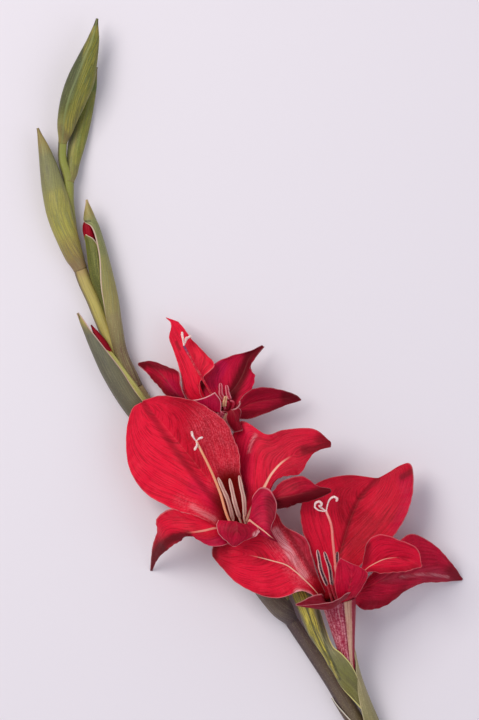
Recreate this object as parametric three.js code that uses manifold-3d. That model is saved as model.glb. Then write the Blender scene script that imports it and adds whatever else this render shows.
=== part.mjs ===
// A cut gladiolus spike lying on its back: a long stem that carries five buds in
// their green bracts and, below them, three open red flowers. Millimetres, +Z up,
// +Y up the spike, the surface that it lies on is Z = 0.
import * as THREE from 'three';
import { mergeVertices } from 'three/addons/utils/BufferGeometryUtils.js';
import Module from 'manifold-3d';

// ---------- driving dimensions ----------
const STEP = 0.5; // one step of the drawing grid, mm: the whole spike scales with it
const CENTRE = [250, 445]; // the grid point that stands over the part's origin
const TEPAL_THICK = 0.7; // mm
const BRACT_THICK = 0.7; // mm
const TUBE_WALL = 1.0; // wall of a flower tube, mm
const GAP = 0.3; // clearance between pieces that touch, mm
const FILAMENT_R = 0.65; // a stamen's stalk
const ANTHER_R = 1.15; // its pollen sac
const STYLE_R = 0.75;
const STEM_SIDES = 10;
const ROOT_DEPTH = 15; // the stamens leave the funnel's back wall this far below its mouth, mm

// ---------- colours ----------
const SCARLET = '#c41a30';
const OLIVE = '#7d8050';
const GREEN = '#6f7d3e';
const YELLOW_GREEN = '#a3a345';
const KHAKI = '#a0946c';
const STEM_BROWN = '#6e6450';
const SALMON = '#e09c78';
const MAUVE = '#c49488';

// ---------- the stem: grid x, grid y, height and radius in mm ----------
const STEM = [
  [62.5, 142, 8.2, 2.1], [62.5, 160, 7.8, 2.2], [68, 180, 7.3, 2.7], [68.8, 205, 6.8, 2.7],
  [74, 245, 6.4, 3.0], [82.5, 276, 6.2, 3.5], [93, 300, 6.1, 3.5], [101, 320, 6, 3.4],
  [117, 357, 5.8, 3.4], [143, 398, 5.5, 3.4], [177.5, 450, 5.2, 3.4], [212, 502, 5, 3.4],
  [245.5, 552, 5, 3.4], [277.5, 600, 5, 3.4], [309.5, 648, 5, 3.4], [331.5, 680, 5, 3.9],
  [343.5, 699, 5, 4.15], [366, 736, 4.9, 3.6], [398, 786, 4.6, 3.9], [448, 866, 4.1, 4.2],
];

// ---------- bracts ----------
// Each wraps an axis: grid x, grid y, height, half width and half depth in mm, and
// the angles of its two rims in degrees, clockwise from the top as seen from the base.
const BRACTS = {
  bud_a_outer_bract: { colour: GREEN, rows: [
    [63, 143, 8.2, 2.6, 2.6, -160, 150], [67, 121, 10.6, 4.6, 4, -150, 125],
    [73.5, 100, 11.8, 6.2, 4.8, -150, 115], [81, 80, 12.2, 6.5, 4.8, -145, 112],
    [87.4, 60, 12.4, 4.9, 3.8, -140, 110], [93.3, 40, 12.4, 2.8, 2.4, -120, 105],
    [97.2, 18.6, 12, 0.7, 0.7, -50, 50]] },
  bud_a_inner_bract: { colour: YELLOW_GREEN, rows: [
    [63.5, 136, 9, 2.3, 2.3, 100, 215], [67, 121, 10.6, 3.7, 3.1, 85, 225],
    [73.5, 100, 11.8, 5.2, 3.8, 82, 225], [81, 80, 12.2, 5.5, 3.8, 82, 225],
    [87.4, 60, 12.3, 3.9, 2.8, 85, 220], [93, 42, 12.2, 1.5, 1.3, 110, 190]] },
  bud_b_outer_bract: { colour: GREEN, rows: [
    [69.8, 182, 6.7, 3, 3.2, -60, 150], [72.3, 165, 4.9, 3.1, 3, -80, 140],
    [76, 145, 3.3, 4.1, 3.4, -100, 130], [80.5, 125, 2.7, 4.4, 3.1, -100, 125],
    [85.5, 105, 2.5, 3.9, 2.8, -95, 120], [91, 85, 2.6, 2.6, 2.2, -90, 110],
    [96.4, 66.5, 2.8, 0.7, 0.7, -50, 50]] },
  bud_b_inner_bract: { colour: YELLOW_GREEN, rows: [
    [73.3, 158, 4.1, 2.4, 2.2, 110, 235], [76, 145, 3.3, 3.2, 2.5, 105, 245],
    [80.5, 125, 2.7, 3.5, 2.3, 100, 245], [85.5, 105, 2.5, 3, 2, 100, 245],
    [91, 87, 2.6, 1.5, 1.3, 110, 220]] },
  bud_c_outer_bract: { colour: OLIVE, rows: [
    [79, 269, 6.3, 3.9, 3.9, -150, 110], [69.5, 243, 8, 5.3, 5.2, -150, 78],
    [60.5, 215, 8.8, 6.4, 5.4, -150, 68], [54, 190, 9, 5.8, 4.7, -150, 90],
    [49.3, 170, 9, 4.5, 3.8, -145, 100], [44.3, 150, 9, 2.8, 2.5, -130, 100],
    [37.6, 128, 9, 0.7, 0.7, -50, 50]] },
  bud_c_inner_bract: { colour: YELLOW_GREEN, rows: [
    [68, 238, 8.2, 4.4, 4.2, 188, 235], [60.5, 215, 8.8, 5.4, 4.4, 165, 235],
    [54, 190, 9, 4.8, 3.7, 80, 235], [49.3, 170, 9, 3.5, 2.8, 85, 235],
    [44.8, 152, 9, 1.5, 1.4, 110, 200]] },
  bud_d_outer_bract: { colour: OLIVE, rows: [
    [137, 388, 7, 3.2, 3.4, -100, 140], [121.5, 355, 8, 3.1, 3.4, -95, 160],
    [114.8, 325, 8.6, 3.5, 3.8, -85, 175], [109.5, 300, 8.8, 4.3, 4.3, -48, 180],
    [100.5, 275, 9, 5.7, 4.9, -2, 180], [95.2, 250, 9.2, 5.1, 4.6, 16, 180],
    [90.8, 227, 9.7, 3.75, 3.4, 4, 160], [89, 217, 9.95, 2.7, 2.45, -88, 145],
    [86.6, 199.6, 10, 0.7, 0.7, -50, 50]] },
  bud_d_inner_bract: { colour: GREEN, rows: [
    [118, 343, 8.2, 2.6, 2.8, -160, -30], [109.5, 305, 8.8, 3.2, 3.3, -165, -20],
    [100.5, 275, 9, 4.8, 4, -165, 12], [95.2, 250, 9.2, 4.2, 3.7, -165, 28],
    [92.5, 239, 9.5, 3.6, 3.2, -150, 10], [91, 232, 9.6, 3.4, 3, -115, -55]] },
  bud_e_outer_bract: { colour: OLIVE, rows: [
    [181, 456, 5.4, 4.2, 4.4, -150, 120], [155, 430, 6.2, 5.5, 5.2, -150, 80],
    [132, 401, 8.2, 5.9, 5.2, -150, 48], [113.5, 372, 9.6, 5.6, 4.8, -150, 44],
    [98.5, 347, 10.6, 4, 3.6, -145, 34], [86, 326, 11.2, 2, 2, -120, 26],
    [77.6, 313, 11.4, 0.7, 0.7, -60, 50]] },
  bud_e_inner_bract: { colour: YELLOW_GREEN, rows: [
    [143, 409, 8, 4.3, 3.9, 25, 80], [131, 393, 8.8, 4.6, 3.9, 22, 88],
    [116, 372, 9.8, 4.5, 3.8, 20, 96], [105, 355, 10.4, 3.4, 3.1, 20, 115],
    [96.5, 342, 10.8, 2.2, 2, 50, 120]] },
  flower_1_outer_bract: { colour: OLIVE, rows: [
    [197, 483, 5.4, 4.4, 4.6, -20, 200], [203, 462, 9.5, 4.8, 4.8, 0, 205],
    [212, 440, 12, 5.2, 5, 10, 205], [217, 426, 13, 5.4, 5, 60, 170],
    [220, 416, 13.5, 5.4, 4.8, 95, 125]] },
  flower_1_inner_bract: { colour: YELLOW_GREEN, rows: [
    [200, 468, 9, 3.8, 3.6, -130, -15], [207, 450, 11, 4.2, 4, -130, -15],
    [213, 436, 12.4, 4.4, 4.2, -110, -55]] },
  flower_2_outer_bract: { colour: STEM_BROWN, rows: [
    [291, 620.5, 5.2, 4.05, 4.3, -215, 100], [279, 604, 7.4, 5.8, 8.4, -200, 70],
    [265.5, 583, 8.6, 6.6, 9.7, -200, 45], [255, 563, 12.4, 6.4, 9.4, -190, 30],
    [246, 548, 15.5, 6.6, 8.2, -160, -10], [240, 536, 18, 6.6, 7, -120, -85]] },
  flower_2_inner_bract: { colour: YELLOW_GREEN, rows: [
    [281, 602, 8.4, 4.5, 6.4, 40, 120], [268, 580, 11.5, 5.2, 6.8, 25, 120],
    [258, 562, 14.8, 5.4, 7, 40, 110]] },
  flower_3_outer_bract: { colour: YELLOW_GREEN, rows: [
    [360, 720, 8.4, 4.2, 4.6, 55, 95], [352.5, 694, 12.4, 4.3, 5, -18, 85],
    [345, 669, 16.4, 5.9, 5.6, -118, 43], [338.5, 657.5, 18.6, 6.3, 5.4, -118, 26],
    [330, 648, 17.8, 4.8, 4.8, -116, 24], [317.5, 630, 16, 4.8, 4.4, -118, 60],
    [310, 612, 16, 5, 4, -118, 75], [299, 590, 16.4, 3.8, 2.8, -115, 80],
    [287, 573, 17, 0.9, 0.9, -60, 60]] },
  flower_3_inner_bract: { colour: KHAKI, rows: [
    [386.5, 768, 4.9, 4.4, 4.6, -45, 200], [373, 732, 7.2, 4.7, 5.3, -40, 195],
    [361.5, 702, 10.6, 4.1, 4.9, -17, 190], [354, 680, 13.2, 3.8, 4.8, 8, 190],
    [349.3, 662, 15.4, 3.9, 4, 52, 165], [346.4, 645, 17.6, 3.3, 3.6, 60, 110]] },
  stem_sheath: { colour: KHAKI, rows: [
    [408, 802, 4.6, 4.6, 4.7, -190, 60], [387.5, 769, 4.8, 4.6, 4.7, -185, 30],
    [366, 736, 4.9, 4.5, 4.7, -175, 0], [349.5, 711, 5, 4.4, 4.6, -150, -40],
    [338.5, 694, 5, 4.2, 4.4, -105, -75]] },
};

// ---------- red corolla tips that show in two of the buds: x, y, height, radius ----------
const BUD_TIPS = {
  bud_d_corolla: [[103, 290, 8, 1.1], [98.5, 270, 8.4, 2.2], [93.5, 250, 8.8, 2.8],
    [89.6, 236, 9.3, 2.9], [87.8, 227, 9.7, 2.6], [87.6, 219, 10, 1.5]],
  bud_e_corolla: [[121, 376, 9.6, 0.9], [112, 360, 10.4, 1.8], [104, 345, 11.2, 2],
    [97, 334.5, 11.4, 1.5], [91, 325, 11.9, 0.4]],
};

// ---------- flowers ----------
// A flower is a funnel from its base to its mouth with six tepals. ring: the part of the
// mouth that a tepal grows from, in degrees from the right by way of the front. left, rib and
// right: its two margins and its midrib from the mouth to the tip, grid x, grid y, height in mm.
// crease: 0 for a rounded cross-section, 1 for one folded sharply along the rib.
const FLOWER_1 = {
  base: [196, 478, 8], mouth: [224, 408, 19], radius: 6.2, wall: [
    { name: 'back', ring: [-102, -18], crease: 0.55,
      left: [[209, 399, 17], [198, 391, 17.2], [200, 377, 17.8], [214, 364.5, 19], [231, 356, 19],
        [250, 351, 17], [262, 345, 14]],
      rib: [[227, 398, 14.5], [236, 386, 15], [242, 376, 15.5], [246, 366, 15.5], [249, 358, 15.5],
        [255, 351, 15], [263, 346, 14]],
      right: [[243, 396, 17.5], [253, 388, 20.5], [255.5, 377, 21], [251, 370, 20], [252, 364, 18],
        [257, 356, 16], [264.5, 347, 14]] },
    { name: 'upper', ring: [-173, -97], crease: 0.2,
      left: [[195, 404, 16.5], [184, 394, 16.8], [181, 375, 17], [174, 352, 17], [169, 338, 15],
        [171.5, 325, 12], [167, 317.5, 9.5]],
      rib: [[207, 400, 17.5], [199, 387, 20], [195, 368, 20], [189, 350, 18], [182, 335, 15],
        [175, 324, 12], [168, 318, 9.5]],
      right: [[204, 400, 17.5], [199, 387, 21.2], [205, 375.5, 22.6], [214.5, 364, 22.6],
        [200, 350, 19.8], [187, 332, 16], [178.5, 321.5, 11.5]] },
    { name: 'left', ring: [142, 214], crease: 0.7,
      left: [[196, 412, 17], [180, 407, 16], [166, 395, 15], [157, 385, 14], [150, 377, 13],
        [144, 370.5, 12], [138, 365.5, 11]],
      rib: [[193, 407, 21], [179, 396, 23.5], [169, 384, 23.5], [161.5, 374.5, 21], [154, 368, 17.5],
        [147, 363.5, 14], [138, 364, 11]],
      right: [[194, 406.5, 20.5], [185.5, 398, 21], [181, 386, 20.5], [179, 373, 19],
        [168, 366.5, 17.5], [151, 361, 13.5], [138.5, 362.5, 11]] },
    { name: 'lip_left', ring: [150, 83], crease: 0, rows: 5,
      left: [[203, 411, 21.5], [193, 406, 23.5], [186, 399.5, 25]],
      rib: [[212, 411, 24], [205, 405, 26], [199, 399, 27.3]],
      right: [[221, 411, 24.5], [221, 401, 26.5], [215, 392, 28.2]] },
    { name: 'lip_right', ring: [92, 32], crease: 0, rows: 5,
      left: [[227, 413, 25.4], [226, 418, 25.2], [228, 425, 24.6], [234, 432.5, 23.4]],
      rib: [[232, 410, 26], [234.5, 414, 26.5], [236.5, 422, 25.5], [240, 431, 24]],
      right: [[238, 408, 24.5], [241, 412, 25], [239.5, 420, 24.5], [243, 430, 23.5]] },
    { name: 'right', ring: [-28, 44], crease: 0.3,
      left: [[241, 399, 20], [252, 388.5, 23.5], [268, 387.5, 23.5], [283, 390, 20.5], [296, 395, 15.5],
        [301, 399, 12]],
      rib: [[240, 409, 18], [253, 403, 19], [268, 400, 19], [284, 398.5, 17], [294, 399, 14],
        [301, 399.5, 12]],
      right: [[236, 418, 17], [249, 419, 17.5], [264, 414, 17.5], [284, 406, 15.5], [295, 402.5, 13],
        [301, 400.5, 12]] },
  ],
};
const FLOWER_2 = {
  base: [281, 608, 8.4], mouth: [238, 527, 24], radius: 8, wall: [
    { name: 'upper_left', ring: [-190, -60], crease: 0.25,
      left: [[203, 519, 25], [173, 508.5, 24.5], [147, 494, 21], [131, 472, 19], [126, 440, 17.5],
        [131, 411, 16.8], [141, 402, 16.5]],
      rib: [[228, 502, 19], [208, 479, 19], [189, 455, 18.5], [171, 434, 18], [158, 418, 17.5],
        [149, 408, 17], [142, 402.5, 16.5]],
      right: [[243, 500, 24], [241, 474, 29], [237, 447, 32.5], [226, 422, 32.5], [200, 403.5, 29.5],
        [165, 395.5, 22], [143, 400, 17]] },
    { name: 'upper_right', ring: [-75, 0], crease: 0.5,
      left: [[240, 490, 18], [228, 457, 18.5], [240, 421.5, 20.5], [266, 434, 25], [284, 429.5, 28],
        [313, 428.5, 30], [330, 441, 30]],
      rib: [[255, 502, 25], [264, 487, 27], [272, 473, 28], [283, 461.5, 28.5], [297, 453, 29.5],
        [316, 447, 30], [331, 443, 30]],
      right: [[259, 510, 27], [266, 495, 29.5], [275, 479, 31], [290, 476, 32], [301, 472, 32.3],
        [315, 451.5, 31.5], [330.5, 447, 30]] },
    { name: 'right', ring: [-18, 44], crease: 0.2,
      left: [[258, 504, 29], [272, 491, 31.5], [282, 481, 33.5], [301, 475.5, 34.5], [316, 485, 34.5],
        [329, 488, 33.5]],
      rib: [[262, 511, 33], [276, 499, 35.5], [290, 495.5, 37], [304, 492.5, 37], [318, 491, 35.5],
        [331, 490, 33.8]],
      right: [[262, 516, 33], [277, 509, 33.5], [291, 506, 33], [304, 502, 33], [318, 498, 33],
        [330, 492, 33.2]] },
    { name: 'lip_right', ring: [34, 92], crease: 0.4,
      left: [[251, 508, 34], [252, 496, 36], [261, 487, 38], [271, 490, 40], [276, 503, 42],
        [275, 516, 42.5], [271, 528, 42], [278, 541, 39]],
      rib: [[249, 520, 35], [253, 522, 37], [257, 525, 38.5], [261, 528, 39.5], [265, 531, 40],
        [269, 534.5, 40.5], [273, 537.5, 40], [278, 541, 39]],
      right: [[247, 529, 34.5], [252, 531.5, 35.5], [257, 532.5, 36.5], [262, 534, 37.5],
        [266, 536, 38], [270, 538, 38.2], [274, 540, 38.4], [278, 541.8, 38.6]] },
    { name: 'lip', ring: [140, 62], crease: 0,
      left: [[221, 525, 36], [218.5, 519, 40], [217, 526, 42.5], [220, 535, 43], [227, 541, 42.5],
        [232, 545, 41.5]],
      rib: [[236, 527, 38], [236, 521.5, 42.5], [237, 526, 45], [237, 533, 45.5], [236, 540, 44],
        [234, 545.5, 42]],
      right: [[250, 528, 37.5], [255, 526, 41], [260, 530, 43], [256, 535, 43], [246, 539, 42.5],
        [237, 545, 41.8]] },
    { name: 'lip_left', ring: [196, 118], crease: 0.3,
      left: [[204, 519, 30.5], [186, 512.5, 32], [171, 508.5, 31.5], [158, 517, 28.5], [157, 531, 22.5],
        [152, 548, 12.5], [150, 571, 0.2]],
      rib: [[217, 528, 34], [204, 530, 36.5], [190, 532, 36], [174, 533, 31.5], [164, 543, 23.5],
        [157, 555, 13], [151, 571, 0.2]],
      right: [[226, 544, 37], [209, 545, 37], [191, 536, 35.5], [180, 541, 29.5], [168, 549, 21.5],
        [157, 560, 11], [152.5, 571, 0.2]] },
  ],
};
const FLOWER_3 = {
  base: [352, 689, 12.9], mouth: [338, 596, 27], radius: 9,
  flare: [[0, 0.27], [0.31, 0.38], [0.585, 0.62], [0.82, 0.84], [1, 1]],
  foot: [[349.5, 679, 14.6], [354, 690, 12.4], [360, 700, 10.6], [364.5, 711, 9], [368, 721, 7.6]],
  wall: [
    { name: 'left', ring: [-132, -218], crease: 0.35,
      left: [[317, 573, 24], [312, 556, 25], [306, 538, 26], [285, 526, 27.5], [275, 512, 28.5],
        [258, 528, 31], [236, 539, 33], [213, 546, 27]],
      rib: [[309, 584, 27.5], [294, 570, 29], [285, 564, 30], [273, 560.5, 31], [260, 557, 32],
        [244, 553.5, 32], [228, 552, 30.5], [212, 551, 27]],
      right: [[308, 592, 30], [299, 590.5, 31], [288, 595, 31], [275, 597.5, 30.5], [258, 593.5, 30],
        [240, 584.5, 29.5], [223, 569, 28], [212.5, 556, 27]] },
    { name: 'hood', ring: [-148, -32], crease: 0.3,
      left: [[319, 577, 21], [311, 553, 23], [302, 528, 23.5], [301, 506, 22.5], [315, 484, 20],
        [345, 475, 17], [377, 478, 15]],
      rib: [[335, 571, 17.5], [341, 549, 17.5], [347, 528, 17.5], [354, 510, 17], [361, 496, 16.5],
        [370, 485.5, 16], [378, 478, 15]],
      right: [[356, 570, 22], [377, 551, 25], [396, 533, 24.5], [408, 510, 22], [413, 488, 19],
        [409, 463, 16], [379, 477.5, 15]] },
    { name: 'right_inner', ring: [-50, 16], crease: 0.65,
      left: [[360, 572, 29], [363, 556, 32.5], [367, 541, 35], [381, 534, 36.5], [401, 540, 36.5],
        [417, 548.5, 35], [421, 564, 33]],
      rib: [[357, 580, 28], [366, 568.5, 30], [376, 562, 30.5], [386, 558, 31], [399, 557, 31.5],
        [411, 560, 32], [421.5, 565, 33]],
      right: [[359, 584, 31], [368, 572.5, 33.5], [381, 572.5, 35], [395, 572, 35.5], [407, 570, 35],
        [415, 568, 34], [421, 566.5, 33]] },
    { name: 'right_outer', ring: [-22, 50], crease: 0.3,
      left: [[368, 578, 23.5], [384, 559, 25.5], [401, 539, 25], [413, 533.5, 23], [432, 543, 17.5],
        [449, 560, 9.5], [462, 578, 0.3]],
      rib: [[360, 590, 26], [377, 582, 26], [397, 576, 24], [418, 572.5, 19.5], [436, 573, 13],
        [450, 576, 7], [463, 579.5, 0.3]],
      right: [[355, 603, 26], [363, 609, 24], [380, 608, 20.5], [399, 595, 18], [414, 585.5, 14],
        [438, 582.5, 7], [462, 581, 0.3]] },
    { name: 'lip_right', ring: [92, 32], crease: 0, rows: 6,
      left: [[336, 594, 38], [334, 580, 42], [336, 564, 45], [340, 556.5, 46]],
      rib: [[347, 594, 39], [350, 581, 43], [351, 569, 45.5], [348, 561, 46.5]],
      right: [[356, 594, 37.5], [364, 583, 41], [367, 572, 44], [358, 565, 46]] },
    { name: 'lip', ring: [164, 74], crease: 0.1, rows: 6,
      left: [[322, 593, 33.5], [312, 595, 37], [303, 599, 40], [296, 602.5, 42]],
      rib: [[330, 607, 39], [321, 608.5, 42.5], [309, 606.5, 44], [295.5, 603.7, 43]],
      right: [[350, 591, 42], [337, 598, 47], [320, 602, 47.5], [297, 604.8, 43.5]] },
  ],
};

// stamens: stalk from the funnel's back wall, then the pollen sac. styles: a long stalk from the
// bottom of the funnel, then three short stigma branches from its end. Grid x, grid y, height.
const STAMENS = {
  flower_1: [
    [[224, 411, 21.2], [224.5, 403, 24], [226, 396, 25.5]],
    [[228, 406, 18.4], [221, 394, 20.8], [220.5, 383, 22.5]],
    [[233, 406, 19], [228, 394, 20.5], [226.5, 385, 22]],
  ],
  flower_2: [
    [[235, 526, 22.5], [228, 500, 26.2], [218, 477, 28]],
    [[241, 522, 25], [235, 503, 29.5], [229.5, 478, 31]],
    [[245, 521, 27], [244, 500, 30], [239, 475, 32]],
  ],
  flower_3: [
    [[329, 590, 27], [321, 570, 31], [317, 549, 33.5]],
    [[332.5, 590, 27.2], [329.5, 568, 31.2], [324, 551, 33.5]],
    [[343, 590, 26], [336, 568, 29.5], [337, 551, 30.5]],
  ],
};
const STYLES = {
  flower_1: { stalk: [[217.5, 411, 19.4], [213.5, 398, 23.2], [198, 371, 26],
    [184, 346, 22.7]], tips: [[182, 332, 22], [187, 337, 25], [191, 335, 21.5]] },
  flower_2: { stalk: [[231, 524, 26.5], [220, 492, 27.5], [210, 468, 29],
    [196.5, 441, 29.5]], tips: [[192, 431, 30.5], [203, 438.5, 31], [196, 451, 31.5]] },
  flower_3: { stalk: [[338, 588, 31.2], [333, 545, 33.2], [331, 525, 33],
    [326, 511, 32.5]], tips: [[318, 511, 34], [320, 502, 34.5], [334, 497, 34.5]] },
};

// A funnel's half width as a share of its mouth's, from its base at 0 to its mouth at 1. The
// third flower has its own, and a foot that bends down between its bracts to the stem.
const FLARE = [[0, 0.25], [0.3, 0.28], [0.5, 0.38], [0.7, 0.62], [0.87, 0.84], [1, 1]];
const FOOT_RADII = [2.2, 2.3, 2.2, 1.9, 1.4]; // mm

// ---------- helpers ----------
const wasm = await Module();
wasm.setup();
const rad = THREE.MathUtils.degToRad;

// grid point and height to millimetres
const at = ([gx, gy, z]) => new THREE.Vector3((gx - CENTRE[0]) * STEP, (CENTRE[1] - gy) * STEP, z);

const curve = (points) => new THREE.CatmullRomCurve3(points, false, 'catmullrom', 0.5);

// a smooth list of numbers, read at t from 0 to 1
function along(values, t) {
  const line = new THREE.SplineCurve(values.map((v, i) => new THREE.Vector2(i, v)));
  return line.getPoint(t).y;
}

// closed mesh from points and triangles, as a solid
function solid(points, faces) {
  const geometry = new THREE.BufferGeometry();
  const numbers = points.flatMap((p) => p.toArray());
  geometry.setAttribute('position', new THREE.Float32BufferAttribute(numbers, 3));
  geometry.setIndex(faces.flat());
  return fromGeometry(geometry);
}

function fromGeometry(geometry) {
  const plain = geometry.clone();
  plain.deleteAttribute('normal');
  plain.deleteAttribute('uv');
  const merged = mergeVertices(plain, 1e-5);
  const vertProperties = new Float32Array(merged.attributes.position.array);
  const triVerts = new Uint32Array(merged.index.array);
  const body = new wasm.Manifold(new wasm.Mesh({ numProp: 3, vertProperties, triVerts }));
  return body;
}

// the largest body of a solid: scraps that a cut leaves go, sealed hollows are filled
function largest(body) {
  return body.decompose().sort((a, b) => b.volume() - a.volume())[0];
}

function toGeometry(body) {
  const mesh = body.getMesh();
  const geometry = new THREE.BufferGeometry();
  geometry.setAttribute('position', new THREE.BufferAttribute(new Float32Array(mesh.vertProperties), 3));
  geometry.setIndex(new THREE.BufferAttribute(new Uint32Array(mesh.triVerts), 1));
  return geometry;
}

// the same surface with its margins moved out
function widened(rows, extra) {
  if (extra === 0) return rows;
  const out = (edge, inner) => edge.clone().add(edge.clone().sub(inner).normalize().multiplyScalar(extra));
  const grid = rows.map((row) => [out(row[0], row[1]), ...row.slice(1, -1), out(row.at(-1), row.at(-2))]);
  const first = grid[0].map((p, j) => out(p, grid[1][j]));
  const last = grid.at(-1).map((p, j) => out(p, grid.at(-2)[j]));
  return [first, ...grid.slice(1, -1), last];
}

// A thin closed blade on a grid of mid-surface points. Both faces are split into
// triangles alike. Where it meets the surface below it is pressed flat on it.
function blade(surface, thick, extra = 0) {
  const rows = widened(surface, extra);
  const nu = rows.length;
  const nv = rows[0].length;
  const faces = [];
  const top = [];
  const under = [];
  for (let i = 0; i < nu; i++) {
    for (let j = 0; j < nv; j++) {
      const du = rows[Math.min(i + 1, nu - 1)][j].clone().sub(rows[Math.max(i - 1, 0)][j]);
      const dv = rows[i][Math.min(j + 1, nv - 1)].clone().sub(rows[i][Math.max(j - 1, 0)]);
      const n = dv.cross(du).normalize().multiplyScalar(thick / 2 + extra);
      const a = rows[i][j].clone().add(n);
      const b = rows[i][j].clone().sub(n);
      const lift = Math.max(0, -Math.min(a.z, b.z));
      a.z += lift;
      b.z += lift;
      top.push(a);
      under.push(b);
    }
  }
  const id = (i, j) => i * nv + j;
  const back = nu * nv;
  const quad = (a, b, c, d) => faces.push([a, b, c], [a, c, d]);
  for (let i = 0; i < nu - 1; i++) {
    for (let j = 0; j < nv - 1; j++) {
      const [a, b, c, d] = [id(i, j), id(i, j + 1), id(i + 1, j + 1), id(i + 1, j)];
      quad(a, b, c, d);
      faces.push([back + a, back + c, back + b], [back + a, back + d, back + c]);
    }
  }
  for (let i = 0; i < nu - 1; i++) {
    quad(id(i, 0), id(i + 1, 0), back + id(i + 1, 0), back + id(i, 0));
    quad(id(i + 1, nv - 1), id(i, nv - 1), back + id(i, nv - 1), back + id(i + 1, nv - 1));
  }
  for (let j = 0; j < nv - 1; j++) {
    quad(id(0, j + 1), id(0, j), back + id(0, j), back + id(0, j + 1));
    quad(id(nu - 1, j), id(nu - 1, j + 1), back + id(nu - 1, j + 1), back + id(nu - 1, j));
  }
  return solid([...top, ...under], faces);
}

// a round rod through points with a radius at each, closed at both ends
function rod(points, radii, sides, steps) {
  const path = curve(points);
  const ring = [];
  const faces = [];
  for (let i = 0; i <= steps; i++) {
    const t = i / steps;
    const { side, rise } = frameAt(path, t);
    const centre = path.getPoint(t);
    const r = Math.max(0.3, along(radii, t));
    for (let k = 0; k < sides; k++) {
      const a = (k / sides) * 2 * Math.PI;
      const p = centre.clone().addScaledVector(side, r * Math.cos(a));
      p.addScaledVector(rise, r * Math.sin(a));
      p.z = Math.max(p.z, 0);
      ring.push(p);
    }
  }
  const id = (i, k) => i * sides + (k % sides);
  for (let i = 0; i < steps; i++) {
    for (let k = 0; k < sides; k++) {
      faces.push([id(i, k), id(i + 1, k + 1), id(i, k + 1)], [id(i, k), id(i + 1, k), id(i + 1, k + 1)]);
    }
  }
  const ends = ring.length;
  ring.push(path.getPoint(0), path.getPoint(1));
  for (let k = 0; k < sides; k++) {
    faces.push([ends, id(0, k), id(0, k + 1)], [ends + 1, id(steps, k + 1), id(steps, k)]);
  }
  return solid(ring, faces);
}

// directions across a path: side is level, to the right of its run, and rise is up from it
function frameAt(path, t) {
  const run = path.getTangent(t);
  const side = run.clone().cross(new THREE.Vector3(0, 0, 1)).normalize();
  const rise = side.clone().cross(run).normalize();
  return { run, side, rise };
}

// ---------- pieces ----------
function stem(extra) {
  const points = STEM.map(at);
  points[0].y += extra;
  return rod(points, STEM.map((p) => p[3] + extra), STEM_SIDES, 26);
}

function bract(rows, extra) {
  const path = curve(rows.map(at));
  const steps = rows.length + 1;
  const across = 6;
  const grid = [];
  for (let i = 0; i <= steps; i++) {
    const t = i / steps;
    const { side, rise } = frameAt(path, t);
    const centre = path.getPoint(t);
    const [wide, deep, from, to] = [3, 4, 5, 6].map((k) => along(rows.map((r) => r[k]), t));
    const line = [];
    for (let j = 0; j <= across; j++) {
      const a = rad(from + ((to - from) * j) / across);
      const p = centre.clone().addScaledVector(side, wide * Math.sin(a));
      line.push(p.addScaledVector(rise, deep * Math.cos(a)));
    }
    grid.push(line);
  }
  return blade(grid, BRACT_THICK, extra);
}

// the frame of a flower's mouth
function mouthOf(flower) {
  const base = at(flower.base);
  const mouth = at(flower.mouth);
  const axis = mouth.clone().sub(base).normalize();
  const front = new THREE.Vector3(0, 0, 1).addScaledVector(axis, -axis.z).normalize();
  const right = axis.clone().cross(front);
  return { base, mouth, axis, front, right };
}

// a point of the funnel's wall, down mm below the mouth and out mm outside its surface
function onRing(flower, degrees, down, out) {
  const { base, mouth, axis, front, right } = mouthOf(flower);
  const t = 1 - down / mouth.distanceTo(base);
  const flare = flower.flare ?? FLARE;
  const i = flare.findIndex((f, k) => k > 0 && f[0] >= t);
  const share = (t - flare[i - 1][0]) / (flare[i][0] - flare[i - 1][0]);
  const r = flower.radius * THREE.MathUtils.lerp(flare[i - 1][1], flare[i][1], share) + out;
  const a = rad(degrees);
  return mouth.clone().addScaledVector(axis, -down)
    .addScaledVector(right, r * Math.cos(a)).addScaledVector(front, r * Math.sin(a));
}

function tube(flower, extra) {
  const { base, mouth, axis } = mouthOf(flower);
  const long = mouth.distanceTo(base);
  const flare = flower.flare ?? FLARE;
  const outer = flare.map(([t, k]) => {
    return new THREE.Vector2(k * flower.radius + extra, t > 0 ? t * long : -extra);
  });
  const inner = flare.slice(2).map(([t, k]) => {
    return new THREE.Vector2(k * flower.radius - TUBE_WALL - extra, t * long + extra);
  });
  const foot = new THREE.Vector2(0, -extra);
  const floor = new THREE.Vector2(0, 0.5 * long + extra);
  const profile = [foot, ...outer, ...inner.reverse(), floor];
  const lathe = new THREE.LatheGeometry(profile, 12);
  const turn = new THREE.Quaternion().setFromUnitVectors(new THREE.Vector3(0, 1, 0), axis);
  lathe.applyQuaternion(turn);
  lathe.translate(...base.toArray());
  return fromGeometry(lathe);
}

function tubeAndFoot(flower, extra) {
  const body = tube(flower, extra);
  if (!flower.foot) return body;
  const path = flower.foot.map(at);
  const last = path.at(-1);
  last.add(last.clone().sub(path.at(-2)).setLength(Math.max(extra, 1e-3)));
  return body.add(rod(path, FOOT_RADII.map((r) => r + extra), 8, 6));
}

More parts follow.
